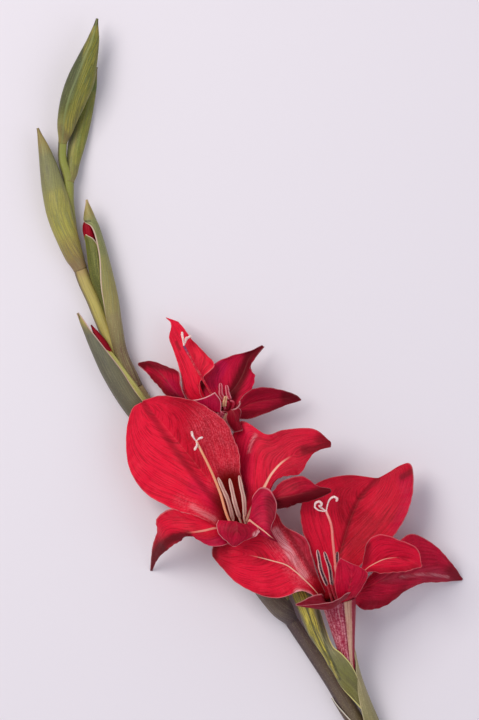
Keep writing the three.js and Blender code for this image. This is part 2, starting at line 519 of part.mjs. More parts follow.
function tepal(flower, part, extra) {
  const [from, to] = part.ring;
  const start = (degrees) => [onRing(flower, degrees, 2.5, -0.5), onRing(flower, degrees, 0.2, -0.45)];
  const left = curve([...start(from), ...part.left.map(at)]);
  const rib = curve([...start((from + to) / 2), ...part.rib.map(at)]);
  const right = curve([...start(to), ...part.right.map(at)]);
  const steps = part.rows ?? 9;
  const across = part.rows ? 4 : 6;
  const grid = [];
  for (let i = 0; i <= steps; i++) {
    const t = i / steps;
    const [l, m, r] = [left.getPoint(t), rib.getPoint(t), right.getPoint(t)];
    const half = r.clone().sub(l).multiplyScalar(0.5);
    const bow = r.clone().add(l).multiplyScalar(0.5).sub(m);
    const line = [];
    for (let j = 0; j <= across; j++) {
      const v = (2 * j) / across - 1;
      const lift = part.crease * Math.abs(v) + (1 - part.crease) * v * v;
      line.push(m.clone().addScaledVector(half, v).addScaledVector(bow, lift));
    }
    grid.push(line);
  }
  return blade(grid, TEPAL_THICK, extra);
}

function perianth(flower, extra = 0) {
  let body = tubeAndFoot(flower, extra);
  for (const part of flower.wall) body = body.add(tepal(flower, part, extra));
  return largest(body);
}

function stamen(flower, points, i) {
  const [low, mid, tip] = points.map(at);
  const root = onRing(flower, -108 + 34 * i, ROOT_DEPTH, -0.3);
  const path = [root, low, low.clone().lerp(mid, 0.6), mid, mid.clone().lerp(tip, 0.6), tip];
  const radii = [FILAMENT_R, FILAMENT_R, FILAMENT_R, ANTHER_R, ANTHER_R, ANTHER_R * 0.6];
  return rod(path, radii, 5, 9);
}

function style(flower, { stalk, tips }) {
  const { base, mouth } = mouthOf(flower);
  const path = [base.clone().lerp(mouth, 0.47), ...stalk.map(at)];
  const top = path.at(-1);
  let body = rod(path, path.map(() => STYLE_R), 5, 8);
  for (const tip of tips) {
    const end = at(tip);
    const mid = top.clone().lerp(end, 0.5).add(new THREE.Vector3(0, 0, 0.5));
    body = body.add(rod([top, mid, end], [0.7, 0.75, 1.0], 5, 2));
  }
  return body;
}

// ---------- assembly ----------
const gladiolus = new THREE.Group();

function place(name, body, colour) {
  // rounded to the mesh's 32 bits, then rid of the scraps that rounding pinches off
  const rounded = largest(fromGeometry(toGeometry(body)));
  const geometry = toGeometry(rounded);
  geometry.computeVertexNormals();
  const material = new THREE.MeshStandardMaterial({ color: colour, roughness: 0.55, metalness: 0 });
  const piece = new THREE.Mesh(geometry, material);
  piece.name = name;
  gladiolus.add(piece);
}

const stemRoom = stem(GAP);
place('stem', stem(0), STEM_BROWN);

const flowers = { flower_1: FLOWER_1, flower_2: FLOWER_2, flower_3: FLOWER_3 };
const taken = [stemRoom];
for (const [name, flower] of Object.entries(flowers)) {
  const body = largest(perianth(flower).subtract(stemRoom));
  place(`${name}_perianth`, body, SCARLET);
  taken.push(tubeAndFoot(flower, GAP));
}
for (const [name, flower] of Object.entries(flowers)) {
  const wall = tube(flower, GAP);
  const pistil = largest(style(flower, STYLES[name]).subtract(wall));
  place(`${name}_style`, pistil, SALMON);
  STAMENS[name].forEach((points, i) => {
    place(`${name}_stamen_${i + 1}`, largest(stamen(flower, points, i).subtract(wall)), MAUVE);
  });
}
for (const [name, points] of Object.entries(BUD_TIPS)) {
  const bud = (extra) => rod(points.map(at), points.map((p) => p[3] + extra), 8, 6);
  place(name, bud(0), SCARLET);
  taken.push(bud(GAP));
}
for (const [name, { colour, rows }] of Object.entries(BRACTS)) {
  let body = bract(rows, 0);
  for (const room of taken) body = body.subtract(room);
  place(name, largest(body), colour);
  taken.push(bract(rows, GAP));
}

export default gladiolus;
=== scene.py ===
import bpy
import math
import numpy as np
from functools import partial
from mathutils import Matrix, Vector, noise


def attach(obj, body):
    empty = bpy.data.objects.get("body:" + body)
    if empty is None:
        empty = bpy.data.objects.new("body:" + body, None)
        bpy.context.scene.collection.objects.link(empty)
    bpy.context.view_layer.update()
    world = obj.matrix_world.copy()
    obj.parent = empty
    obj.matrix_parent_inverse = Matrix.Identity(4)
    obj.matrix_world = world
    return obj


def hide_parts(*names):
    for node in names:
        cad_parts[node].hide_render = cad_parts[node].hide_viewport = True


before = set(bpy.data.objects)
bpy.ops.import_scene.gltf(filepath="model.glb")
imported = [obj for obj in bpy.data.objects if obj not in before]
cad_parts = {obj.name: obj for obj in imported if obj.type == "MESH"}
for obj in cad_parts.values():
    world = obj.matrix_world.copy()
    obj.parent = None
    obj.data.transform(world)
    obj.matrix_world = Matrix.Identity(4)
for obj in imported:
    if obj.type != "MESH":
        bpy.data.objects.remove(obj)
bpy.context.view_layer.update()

# A cut gladiolus spike, laid on its back and seen from straight above. Lengths are in
# millimetres until a mesh is made. The drawing grid runs right and down, 0.5 mm a step, over
# the width and height of PICTURE; CENTRE is its point at the frame's origin.
MM = 0.001
STEP = 0.5
CENTRE = (250, 445)
PICTURE = (479, 720)
# in mm: the least height of a blade's or rod's points, and the length that a map's 0 to 1 is
CLEAR = 0.02
MAP = 100

# the stem: grid x, grid y, height, radius
STEM = [
    (62.5, 142, 8.2, 2.1), (62.5, 160, 7.8, 2.2), (68, 180, 7.3, 2.7), (68.8, 205, 6.8, 2.7),
    (74, 245, 6.4, 3.0), (82.5, 276, 6.2, 3.5), (93, 300, 6.1, 3.5), (101, 320, 6, 3.4),
    (117, 357, 5.8, 3.4), (143, 398, 5.5, 3.4), (177.5, 450, 5.2, 3.4), (212, 502, 5, 3.4),
    (245.5, 552, 5, 3.4), (277.5, 600, 5, 3.4), (309.5, 648, 5, 3.4), (331.5, 680, 5, 3.9),
    (343.5, 699, 5, 4.15), (366, 736, 4.9, 3.6), (398, 786, 4.6, 3.9), (448, 866, 4.1, 4.2),
]

# bracts: grid x, grid y, height, half width, half depth, and the angles of the two rims,
# in degrees from the top, clockwise as seen from the base
BRACTS = {
    "bud_a_outer_bract": [
        (63, 143, 8.2, 2.6, 2.6, -160, 150), (67, 121, 10.6, 4.6, 4, -150, 125),
        (73.5, 100, 11.8, 6.2, 4.8, -150, 115), (81, 80, 12.2, 6.5, 4.8, -145, 112),
        (87.4, 60, 12.4, 4.9, 3.8, -140, 110), (93.3, 40, 12.4, 2.8, 2.4, -120, 105),
        (97.2, 18.6, 12, 0.7, 0.7, -50, 50)],
    "bud_a_inner_bract": [
        (63.5, 136, 9, 2.3, 2.3, 100, 215), (67, 121, 10.6, 3.7, 3.1, 85, 225),
        (73.5, 100, 11.8, 5.2, 3.8, 82, 225), (81, 80, 12.2, 5.5, 3.8, 82, 225),
        (87.4, 60, 12.3, 3.9, 2.8, 85, 220), (93, 42, 12.2, 1.5, 1.3, 110, 190)],
    "bud_b_outer_bract": [
        (69.8, 182, 6.7, 3, 3.2, -60, 150), (72.3, 165, 4.9, 3.1, 3, -80, 140),
        (76, 145, 3.3, 4.1, 3.4, -100, 130), (80.5, 125, 2.7, 4.4, 3.1, -100, 125),
        (85.5, 105, 2.5, 3.9, 2.8, -95, 120), (91, 85, 2.6, 2.6, 2.2, -90, 110),
        (96.4, 66.5, 2.8, 0.7, 0.7, -50, 50)],
    "bud_b_inner_bract": [
        (73.3, 158, 4.1, 2.4, 2.2, 110, 235), (76, 145, 3.3, 3.2, 2.5, 105, 245),
        (80.5, 125, 2.7, 3.5, 2.3, 100, 245), (85.5, 105, 2.5, 3, 2, 100, 245),
        (91, 87, 2.6, 1.5, 1.3, 110, 220)],
    "bud_c_outer_bract": [
        (79, 269, 6.3, 3.9, 3.9, -150, 110), (69.5, 243, 8, 5.3, 5.2, -150, 78),
        (60.5, 215, 8.8, 6.4, 5.4, -150, 68), (54, 190, 9, 5.8, 4.7, -150, 90),
        (49.3, 170, 9, 4.5, 3.8, -145, 100), (44.3, 150, 9, 2.8, 2.5, -130, 100),
        (37.6, 128, 9, 0.7, 0.7, -50, 50)],
    "bud_c_inner_bract": [
        (68, 238, 8.2, 4.4, 4.2, 188, 235), (60.5, 215, 8.8, 5.4, 4.4, 165, 235),
        (54, 190, 9, 4.8, 3.7, 80, 235), (49.3, 170, 9, 3.5, 2.8, 85, 235),
        (44.8, 152, 9, 1.5, 1.4, 110, 200)],
    "bud_d_outer_bract": [
        (137, 388, 7, 3.2, 3.4, -100, 140), (121.5, 355, 8, 3.1, 3.4, -95, 160),
        (114.8, 325, 8.6, 3.5, 3.8, -85, 175), (109.5, 300, 8.8, 4.3, 4.3, -48, 180),
        (100.5, 275, 9, 5.7, 4.9, -2, 180), (95.2, 250, 9.2, 5.1, 4.6, 16, 180),
        (90.8, 227, 9.7, 3.75, 3.4, 4, 160), (89, 217, 9.95, 2.7, 2.45, -88, 145),
        (86.6, 199.6, 10, 0.7, 0.7, -50, 50)],
    "bud_d_inner_bract": [
        (118, 343, 8.2, 2.6, 2.8, -160, -30), (109.5, 305, 8.8, 3.2, 3.3, -165, -20),
        (100.5, 275, 9, 4.8, 4, -165, 12), (95.2, 250, 9.2, 4.2, 3.7, -165, 28),
        (92.5, 239, 9.5, 3.6, 3.2, -150, 10), (91, 232, 9.6, 3.4, 3, -115, -55)],
    "bud_e_outer_bract": [
        (181, 456, 5.4, 4.2, 4.4, -150, 120), (155, 430, 6.2, 5.5, 5.2, -150, 80),
        (132, 401, 8.2, 5.9, 5.2, -150, 48), (113.5, 372, 9.6, 5.6, 4.8, -150, 44),
        (98.5, 347, 10.6, 4, 3.6, -145, 34), (86, 326, 11.2, 2, 2, -120, 26),
        (77.6, 313, 11.4, 0.7, 0.7, -60, 50)],
    "bud_e_inner_bract": [
        (143, 409, 8, 4.3, 3.9, 25, 80), (131, 393, 8.8, 4.6, 3.9, 22, 88),
        (116, 372, 9.8, 4.5, 3.8, 20, 96), (105, 355, 10.4, 3.4, 3.1, 20, 115),
        (96.5, 342, 10.8, 2.2, 2, 50, 120)],
    "flower_1_outer_bract": [
        (197, 483, 5.4, 4.4, 4.6, -20, 200), (203, 462, 9.5, 4.8, 4.8, 0, 205),
        (212, 440, 12, 5.2, 5, 10, 205), (217, 426, 13, 5.4, 5, 60, 170),
        (220, 416, 13.5, 5.4, 4.8, 95, 125)],
    "flower_1_inner_bract": [
        (200, 468, 9, 3.8, 3.6, -130, -15), (207, 450, 11, 4.2, 4, -130, -15),
        (213, 436, 12.4, 4.4, 4.2, -110, -55)],
    "flower_2_outer_bract": [
        (291, 620.5, 5.2, 4.05, 4.3, -215, 100), (279, 604, 7.4, 5.8, 8.4, -200, 70),
        (265.5, 583, 8.6, 6.6, 9.7, -200, 45), (255, 563, 12.4, 6.4, 9.4, -190, 30),
        (246, 548, 15.5, 6.6, 8.2, -160, -10), (240, 536, 18, 6.6, 7, -120, -85)],
    "flower_2_inner_bract": [
        (281, 602, 8.4, 4.5, 6.4, 40, 120), (268, 580, 11.5, 5.2, 6.8, 25, 120),
        (258, 562, 14.8, 5.4, 7, 40, 110)],
    "flower_3_outer_bract": [
        (360, 720, 8.4, 4.2, 4.6, 55, 95), (352.5, 694, 12.4, 4.3, 5, -18, 85),
        (345, 669, 16.4, 5.9, 5.6, -118, 43), (338.5, 657.5, 18.6, 6.3, 5.4, -118, 26),
        (330, 648, 17.8, 4.8, 4.8, -116, 24), (317.5, 630, 16, 4.8, 4.4, -118, 60),
        (310, 612, 16, 5, 4, -118, 75), (299, 590, 16.4, 3.8, 2.8, -115, 80),
        (287, 573, 17, 0.9, 0.9, -60, 60)],
    "flower_3_inner_bract": [
        (386.5, 768, 4.9, 4.4, 4.6, -45, 200), (373, 732, 7.2, 4.7, 5.3, -40, 195),
        (361.5, 702, 10.6, 4.1, 4.9, -17, 190), (354, 680, 13.2, 3.8, 4.8, 8, 190),
        (349.3, 662, 15.4, 3.9, 4, 52, 165), (346.4, 645, 17.6, 3.3, 3.6, 60, 110)],
    "stem_sheath": [
        (408, 802, 4.6, 4.6, 4.7, -190, 60), (387.5, 769, 4.8, 4.6, 4.7, -185, 30),
        (366, 736, 4.9, 4.3, 4.5, -175, 0), (349.5, 711, 5, 4.1, 4.3, -150, -40),
        (338.5, 694, 5, 3.85, 4, -105, -75)],
}

# unopened red petals that show in two buds: grid x, grid y, height, radius
BUD_TIPS = {
    "bud_d_corolla": [(103, 290, 8, 1.1), (98.5, 270, 8.4, 2.2), (93.5, 250, 8.8, 2.8),
        (89.6, 236, 9.3, 2.9), (87.8, 227, 9.7, 2.6), (87.6, 219, 10, 1.5)],
    "bud_e_corolla": [(121, 376, 9.6, 0.9), (112, 360, 10.4, 1.8), (104, 345, 11.2, 2),
        (97, 334.5, 11.4, 1.5), (91, 325, 11.9, 0.4)],
}

# Open flowers: a funnel from base to mouth, and six tepals. ring: the stretch of the mouth
# that a tepal grows from. left, rib and right: its margins and midrib, from mouth to tip.
# crease: 0 for a rounded cross-section, 1 for one folded along the rib.
FLOWERS = {
    "flower_1": dict(base=(196, 478, 8), mouth=(224, 408, 19), radius=6.2, tepals=dict(
        back=dict(ring=(-102, -18), crease=0.55,
            left=[(209, 399, 17), (198, 391, 17.2), (200, 377, 17.8), (214, 364.5, 19), (231, 356, 19),
                (250, 351, 17), (262, 345, 14)],
            rib=[(227, 398, 14.5), (236, 386, 15), (242, 376, 15.5), (246, 366, 15.5),
                (249, 358, 15.5), (255, 351, 15), (263, 346, 14)],
            right=[(243, 396, 17.5), (253, 388, 20.5), (255.5, 377, 21), (251, 370, 20),
                (252, 364, 18), (257, 356, 16), (264.5, 347, 14)]),
        upper=dict(ring=(-173, -97), crease=0.2,
            left=[(195, 404, 16.5), (184, 394, 16.8), (181, 375, 17), (174, 352, 17), (169, 338, 15),
                (171.5, 325, 12), (167, 317.5, 9.5)],
            rib=[(207, 400, 17.5), (199, 387, 20), (195, 368, 20), (189, 350, 18), (182, 335, 15),
                (175, 324, 12), (168, 318, 9.5)],
            right=[(204, 400, 17.5), (199, 387, 21.2), (205, 375.5, 22.6), (214.5, 364, 22.6),
                (200, 350, 19.8), (187, 332, 16), (178.5, 321.5, 11.5)]),
        left=dict(ring=(142, 214), crease=0.7,
            left=[(196, 412, 17), (180, 407, 16), (166, 395, 15), (157, 385, 14), (150, 377, 13),
                (144, 370.5, 12), (138, 365.5, 11)],
            rib=[(193, 407, 21), (179, 396, 23.5), (169, 384, 23.5), (161.5, 374.5, 21),
                (154, 368, 17.5), (147, 363.5, 14), (138, 364, 11)],
            right=[(194, 406.5, 20.5), (185.5, 398, 21), (181, 386, 20.5), (179, 373, 19),
                (168, 366.5, 17.5), (151, 361, 13.5), (138.5, 362.5, 11)]),
        lip_left=dict(ring=(150, 83), crease=0, small=True,
            left=[(203, 411, 21.5), (193, 406, 23.5), (186, 399.5, 25)],
            rib=[(212, 411, 24), (205, 405, 26), (199, 399, 27.3)],
            right=[(221, 411, 24.5), (221, 401, 26.5), (215, 392, 28.2)]),
        lip_right=dict(ring=(92, 32), crease=0, small=True,
            left=[(227, 413, 25.4), (226, 418, 25.2), (228, 425, 24.6), (234, 432.5, 23.4)],
            rib=[(232, 410, 26), (234.5, 414, 26.5), (236.5, 422, 25.5), (240, 431, 24)],
            right=[(238, 408, 24.5), (241, 412, 25), (239.5, 420, 24.5), (243, 430, 23.5)]),
        right=dict(ring=(-28, 44), crease=0.3,
            left=[(241, 399, 20), (252, 388.5, 23.5), (268, 387.5, 23.5), (283, 390, 20.5),
                (296, 395, 15.5), (301, 399, 12)],
            rib=[(240, 409, 18), (253, 403, 19), (268, 400, 19), (284, 398.5, 17), (294, 399, 14),
                (301, 399.5, 12)],
            right=[(236, 418, 17), (249, 419, 17.5), (264, 414, 17.5), (284, 406, 15.5),
                (295, 402.5, 13), (301, 400.5, 12)]),
    )),
    "flower_2": dict(base=(281, 608, 8.4), mouth=(238, 527, 24), radius=8, tepals=dict(
        upper_left=dict(ring=(-190, -60), crease=0.25,
            left=[(203, 519, 25), (173, 508.5, 24.5), (147, 494, 21), (131, 472, 19), (126, 440, 17.5),
                (131, 411, 16.8), (141, 402, 16.5)],
            rib=[(228, 502, 19), (208, 479, 19), (189, 455, 18.5), (171, 434, 18), (158, 418, 17.5),
                (149, 408, 17), (142, 402.5, 16.5)],
            right=[(243, 500, 24), (241, 474, 29), (237, 447, 32.5), (226, 422, 32.5),
                (200, 403.5, 29.5), (165, 395.5, 22), (143, 400, 17)]),
        upper_right=dict(ring=(-75, 0), crease=0.5,
            left=[(240, 490, 18), (228, 457, 18.5), (240, 421.5, 20.5), (266, 434, 25),
                (284, 429.5, 28), (313, 428.5, 30), (330, 441, 30)],
            rib=[(255, 502, 25), (264, 487, 27), (272, 473, 28), (283, 461.5, 28.5), (297, 453, 29.5),
                (316, 447, 30), (331, 443, 30)],
            right=[(259, 510, 27), (266, 495, 29.5), (275, 479, 31), (290, 476, 32), (301, 472, 32.3),
                (315, 451.5, 31.5), (330.5, 447, 30)]),
        right=dict(ring=(-18, 44), crease=0.2,
            left=[(258, 504, 29), (272, 491, 31.5), (282, 481, 33.5), (301, 475.5, 34.5),
                (316, 485, 34.5), (329, 488, 33.5)],
            rib=[(262, 511, 33), (276, 499, 35.5), (290, 495.5, 37), (304, 492.5, 37),
                (318, 491, 35.5), (331, 490, 33.8)],
            right=[(262, 516, 33), (277, 509, 33.5), (291, 506, 33), (304, 502, 33), (318, 498, 33),
                (330, 492, 33.2)]),
        lip_right=dict(ring=(34, 92), crease=0.4,
            left=[(251, 508, 34), (252, 496, 36), (261, 487, 38), (271, 490, 40), (276, 503, 42),
                (275, 516, 42.5), (271, 528, 42), (278, 541, 39)],
            rib=[(249, 520, 35), (253, 522, 37), (257, 525, 38.5), (261, 528, 39.5), (265, 531, 40),
                (269, 534.5, 40.5), (273, 537.5, 40), (278, 541, 39)],
            right=[(247, 529, 34.5), (252, 531.5, 35.5), (257, 532.5, 36.5), (262, 534, 37.5),
                (266, 536, 38), (270, 538, 38.2), (274, 540, 38.4), (278, 541.8, 38.6)]),
        lip=dict(ring=(140, 62), crease=0,
            left=[(221, 525, 36), (218.5, 519, 40), (217, 526, 42.5), (220, 535, 43), (227, 541, 42.5),
                (232, 545, 41.5)],
            rib=[(236, 527, 38), (236, 521.5, 42.5), (237, 526, 45), (237, 533, 45.5), (236, 540, 44),
                (234, 545.5, 42)],
            right=[(250, 528, 37.5), (255, 526, 41), (260, 530, 43), (256, 535, 43), (246, 539, 42.5),
                (237, 545, 41.8)]),
        lip_left=dict(ring=(196, 118), crease=0.3,
            left=[(204, 519, 30.5), (186, 512.5, 32), (171, 508.5, 31.5), (158, 517, 28.5),
                (157, 531, 22.5), (152, 548, 12.5), (150, 571, 0.2)],
            rib=[(217, 528, 34), (204, 530, 36.5), (190, 532, 36), (174, 533, 31.5), (164, 543, 23.5),
                (157, 555, 13), (151, 571, 0.2)],
            right=[(226, 544, 37), (209, 545, 37), (191, 536, 35.5), (180, 541, 29.5),
                (168, 549, 21.5), (157, 560, 11), (152.5, 571, 0.2)]),
    )),
    "flower_3": dict(base=(352, 689, 12.9), mouth=(338, 596, 27), radius=9,
        flare=[(0, 0.27), (0.31, 0.38), (0.585, 0.62), (0.82, 0.84), (1, 1)],
        foot=[(349.5, 679, 14.6), (354, 690, 12.4), (360, 700, 10.6), (364.5, 711, 9), (368, 721, 7.6)],
        tepals=dict(
        left=dict(ring=(-132, -218), crease=0.35,
            left=[(317, 573, 24), (312, 556, 25), (306, 538, 26), (285, 526, 27.5), (275, 512, 28.5),
                (258, 528, 31), (236, 539, 33), (213, 546, 27)],
            rib=[(309, 584, 27.5), (294, 570, 29), (285, 564, 30), (273, 560.5, 31), (260, 557, 32),
                (244, 553.5, 32), (228, 552, 30.5), (212, 551, 27)],
            right=[(308, 592, 30), (299, 590.5, 31), (288, 595, 31), (275, 597.5, 30.5),
                (258, 593.5, 30), (240, 584.5, 29.5), (223, 569, 28), (212.5, 556, 27)]),
        hood=dict(ring=(-148, -32), crease=0.3,
            left=[(319, 577, 21), (311, 553, 23), (302, 528, 23.5), (301, 506, 22.5), (315, 484, 20),
                (345, 475, 17), (377, 478, 15)],
            rib=[(335, 571, 17.5), (341, 549, 17.5), (347, 528, 17.5), (354, 510, 17),
                (361, 496, 16.5), (370, 485.5, 16), (378, 478, 15)],
            right=[(356, 570, 22), (377, 551, 25), (396, 533, 24.5), (408, 510, 22), (413, 488, 19),
                (409, 463, 16), (379, 477.5, 15)]),
        right_inner=dict(ring=(-50, 16), crease=0.65,
            left=[(360, 572, 29), (363, 556, 32.5), (367, 541, 35), (381, 534, 36.5), (401, 540, 36.5),
                (417, 548.5, 35), (421, 564, 33)],
            rib=[(357, 580, 28), (366, 568.5, 30), (376, 562, 30.5), (386, 558, 31), (399, 557, 31.5),
                (411, 560, 32), (421.5, 565, 33)],
            right=[(359, 584, 31), (368, 572.5, 33.5), (381, 572.5, 35), (395, 572, 35.5),
                (407, 570, 35), (415, 568, 34), (421, 566.5, 33)]),
        right_outer=dict(ring=(-22, 50), crease=0.3,
            left=[(368, 578, 23.5), (384, 559, 25.5), (401, 539, 25), (413, 533.5, 23),
                (432, 543, 17.5), (449, 560, 9.5), (462, 578, 0.3)],
            rib=[(360, 590, 26), (377, 582, 26), (397, 576, 24), (418, 572.5, 19.5), (436, 573, 13),
                (450, 576, 7), (463, 579.5, 0.3)],
            right=[(355, 603, 26), (363, 609, 24), (380, 608, 20.5), (399, 595, 18), (414, 585.5, 14),
                (438, 582.5, 7), (462, 581, 0.3)]),
        lip_right=dict(ring=(92, 32), crease=0, small=True,
            left=[(336, 594, 38), (334, 580, 42), (336, 564, 45), (340, 556.5, 46)],
            rib=[(347, 594, 39), (350, 581, 43), (351, 569, 45.5), (348, 561, 46.5)],
            right=[(356, 594, 37.5), (364, 583, 41), (367, 572, 44), (358, 565, 46)]),
        lip=dict(ring=(164, 74), crease=0.1, small=True,
            left=[(322, 593, 33.5), (312, 595, 37), (303, 599, 40), (296, 602.5, 42)],
            rib=[(330, 607, 39), (321, 608.5, 42.5), (309, 606.5, 44), (295.5, 603.7, 43)],
            right=[(350, 591, 42), (337, 598, 47), (320, 602, 47.5), (297, 604.8, 43.5)]),
    )),
}
# the pale rolled edge of flower 1's lower front petal, as it lies over two of its petals
FLOWER_1_CURL = [(237, 398.5), (239.7, 401.5), (239.5, 405), (236.6, 408.2), (232.6, 409.6), (227.9, 408.8)]
# How each tepal is coloured. bright, dark, magenta and rose: how far all of it leans that
# way, from 0 to 1; bright is painted light and dark painted shade. rib and rim: how pale its
# midrib and its margins are, the pale margins a painted highlight; rib_wide in mm and
# rib_span, the stretch of its length that shows it. strokes: marks laid on it, each with
# its reach in mm, its strength and the grid points that it runs through. bright and salmon
# strokes are painted highlights, pale ones partly paler thin tissue and partly painted
# highlight, and dark and throat ones painted shade in folds, creases, under curled margins
# and deep in the flower.
TEPAL_LOOKS = {
    "flower_1_back": dict(magenta=0.45, bright=0.45, strokes=[
        ("dark", 5, 0.9, [(250, 355), (243, 372), (232, 395)]),
        ("dark", 6, 0.9, [(257, 353), (263, 346)]), ("magenta", 6, 0.9, [(222, 366), (212, 384)]),
        ("dark", 3.2, 1.0, [(203, 384), (200, 389), (197, 394)])]),
    "flower_1_upper": dict(bright=0.9, rim=0.25, strokes=[
        ("dark", 1.0, 0.6, [(176.5, 342), (178, 345.5), (180, 349)])]),
    "flower_1_left": dict(dark=0.15, magenta=0.25, rim=0.5, strokes=[
        ("dark", 4, 0.9, [(143, 365), (138, 365)]),
        ("dark", 4, 0.7, [(144, 362), (160, 365), (179, 370)]),
        ("dark", 6, 0.6, [(190, 408), (165, 394), (150, 380)]),
        ("magenta", 6, 0.6, [(170, 385), (178, 397)])]),
    "flower_1_lip_left": dict(magenta=0.6, rim=0.8),
    "flower_1_lip_right": dict(magenta=0.2, dark=0.6, rim=0.35, strokes=[
        ("pale", 0.5, 1.0, FLOWER_1_CURL), ("bright", 3, 0.6, [(236, 402), (232, 406)])]),
    "flower_1_right": dict(magenta=0.35, dark=0.4, strokes=[
        ("pale", 0.5, 1.0, FLOWER_1_CURL), ("dark", 7, 0.8, [(287, 397), (301, 400)]),
        ("dark", 5, 0.7, [(240, 415), (262, 414), (284, 406)])]),
    "flower_2_upper_left": dict(rim=0.2, strokes=[
        ("bright", 26, 1.0, [(140, 420), (150, 460), (180, 498)]),
        ("salmon", 16, 0.75, [(212, 425), (228, 455), (234, 480)]),
        ("bright", 14, 1.0, [(180, 480), (204, 488)]),
        ("magenta", 7, 0.35, [(196, 486), (207, 494), (216, 508)]),
        ("dark", 2.4, 0.45, [(143, 402), (165, 435), (190, 470), (210, 495), (228, 512)]),
        ("throat", 12, 1.0, [(238, 520), (230, 502), (230, 484)]),
        ("salmon", 5, 0.6, [(180, 500), (200, 511), (215, 520)]),
        ("pale", 2.0, 0.4, [(192, 506), (200, 511), (214, 519)])]),
    "flower_2_upper_right": dict(
        magenta=0.1, rib=1.0, rib_wide=1.9, rib_span=(0.1, 0.68), rim=0.1, strokes=[
        ("magenta", 8, 0.4, [(246, 436), (243, 485)]),
        ("bright", 12, 0.45, [(262, 475), (285, 447), (305, 437)]),
        ("bright", 12, 1.0, [(250, 432), (250, 450), (252, 475)]),
        ("dark", 3, 0.25, [(258, 436), (250, 450), (243, 470), (240, 490)]),
        ("pale", 0.9, 0.5, [(256, 434), (252, 442), (249, 452)]),
        ("dark", 3.4, 0.7, [(304, 450), (316, 448), (329, 443)]),
        ("dark", 6, 0.6, [(322, 440), (330, 443)])]),
    "flower_2_right": dict(dark=0.22, magenta=0.2, strokes=[
        ("dark", 6, 1.0, [(276, 506), (290, 502), (303, 499), (316, 495), (330, 491)])]),
    "flower_2_lip_right": dict(magenta=0.5, rib=0.9, rib_wide=1.3, rib_span=(0.08, 0.9), rim=0.35, strokes=[
        ("dark", 5, 0.6, [(271, 500), (273, 518), (275, 535)])]),
    "flower_2_lip": dict(magenta=0.35, rim=0.55, strokes=[
        ("pale", 2.4, 1.0, [(256, 534), (261, 531)]), ("dark", 5, 0.35, [(232, 528), (245, 528)])]),
    "flower_2_lip_left": dict(rib=0.55, rib_wide=1.3, rib_span=(0.05, 0.5), rim=0.3, strokes=[
        ("bright", 9, 0.6, [(205, 522), (180, 520), (165, 525)]),
        ("dark", 5, 0.9, [(151, 570), (154, 558), (162, 547)]),
        ("dark", 3.6, 0.8, [(160, 548), (172, 538), (188, 535)]),
        ("magenta", 5, 0.6, [(185, 540), (205, 545), (220, 542)])]),
    "flower_3_left": dict(rib=1.0, rib_wide=0.7, rib_span=(0.1, 0.72), rim=0.4, strokes=[
        ("bright", 13, 0.9, [(245, 573), (270, 578), (290, 583)]),
        ("bright", 9, 0.9, [(240, 545), (262, 543), (280, 552)]),
        ("salmon", 9, 1.0, [(278, 538), (289, 554), (302, 574)]),
        ("pale", 3, 0.7, [(276, 531), (286, 547), (296, 562), (304, 575)]),
        ("rose", 6, 0.5, [(299, 533), (308, 550), (315, 566)]),
        ("dark", 1.8, 0.5, [(287, 530), (295, 544), (305, 560), (314, 575)]),
        ("pale", 3.2, 1.0, [(298, 592), (307, 595)]), ("dark", 4, 0.7, [(213, 546), (213, 556)])]),
    "flower_3_hood": dict(bright=0.1, magenta=0.05, rim=0.25, strokes=[
        ("dark", 2, 0.55, [(337, 566), (345, 535), (355, 505), (368, 488), (378, 478)]),
        ("dark", 2.4, 0.6, [(413, 470), (402, 477)]),
        ("bright", 13, 1.0, [(318, 500), (322, 530), (328, 560)]),
        ("bright", 13, 0.35, [(378, 500), (395, 500), (398, 480)]),
        ("magenta", 6, 0.35, [(405, 480), (408, 500), (396, 530)])]),
    "flower_3_right_inner": dict(
        magenta=0.15, bright=0.5, rib=0.75, rib_wide=0.8, rib_span=(0.12, 0.72), rim=0.2, strokes=[
        ("dark", 4, 0.5, [(366, 545), (364, 560)]),
        ("dark", 3, 0.4, [(370, 571), (395, 571), (415, 567)])]),
    "flower_3_right_outer": dict(magenta=0.3, rim=0.2, strokes=[
        ("rose", 5, 0.4, [(385, 577), (410, 573), (430, 573), (450, 577)]),
        ("pale", 1.2, 0.3, [(400, 577), (425, 574), (448, 577)]),
        ("dark", 6, 0.6, [(452, 572), (463, 580)]),
        ("dark", 5, 0.5, [(366, 606), (385, 604), (402, 593)])]),
    "flower_3_lip_right": dict(bright=0.2, magenta=0.3, rim=0.2),
    "flower_3_lip": dict(rose=0.5, magenta=0.2, rim=0.4, strokes=[
        ("dark", 6, 0.6, [(310, 600), (330, 600), (350, 594)]),
        ("dark", 4, 0.6, [(296, 603), (303, 601)])]),
}
# three stamens in each flower: a point below the pollen sac or at its foot, its middle, and
# its tip. The thread starts on the funnel's wall, ROOT_DEPTH mm below the mouth.
ROOT_DEPTH = 15
STAMENS = {
    "flower_1": [
        [(224, 411, 21.2), (224.5, 403, 24), (226, 396, 25.5)],
        [(228, 406, 18.4), (221, 394, 20.8), (220.5, 383, 22.5)],
        [(233, 406, 19), (228, 394, 20.5), (226.5, 385, 22)]],
    "flower_2": [
        [(235, 526, 22.5), (228, 500, 26.2), (218, 477, 28)],
        [(241, 522, 25), (235, 503, 29.5), (229.5, 478, 31)],
        [(245, 521, 27), (244, 500, 30), (239, 475, 32)]],
    "flower_3": [
        [(329, 590, 27), (321, 570, 31), (317, 549, 33.5)],
        [(332.5, 590, 27.2), (329.5, 568, 31.2), (324, 551, 33.5)],
        [(343, 590, 26), (336, 568, 29.5), (337, 551, 30.5)]],
}
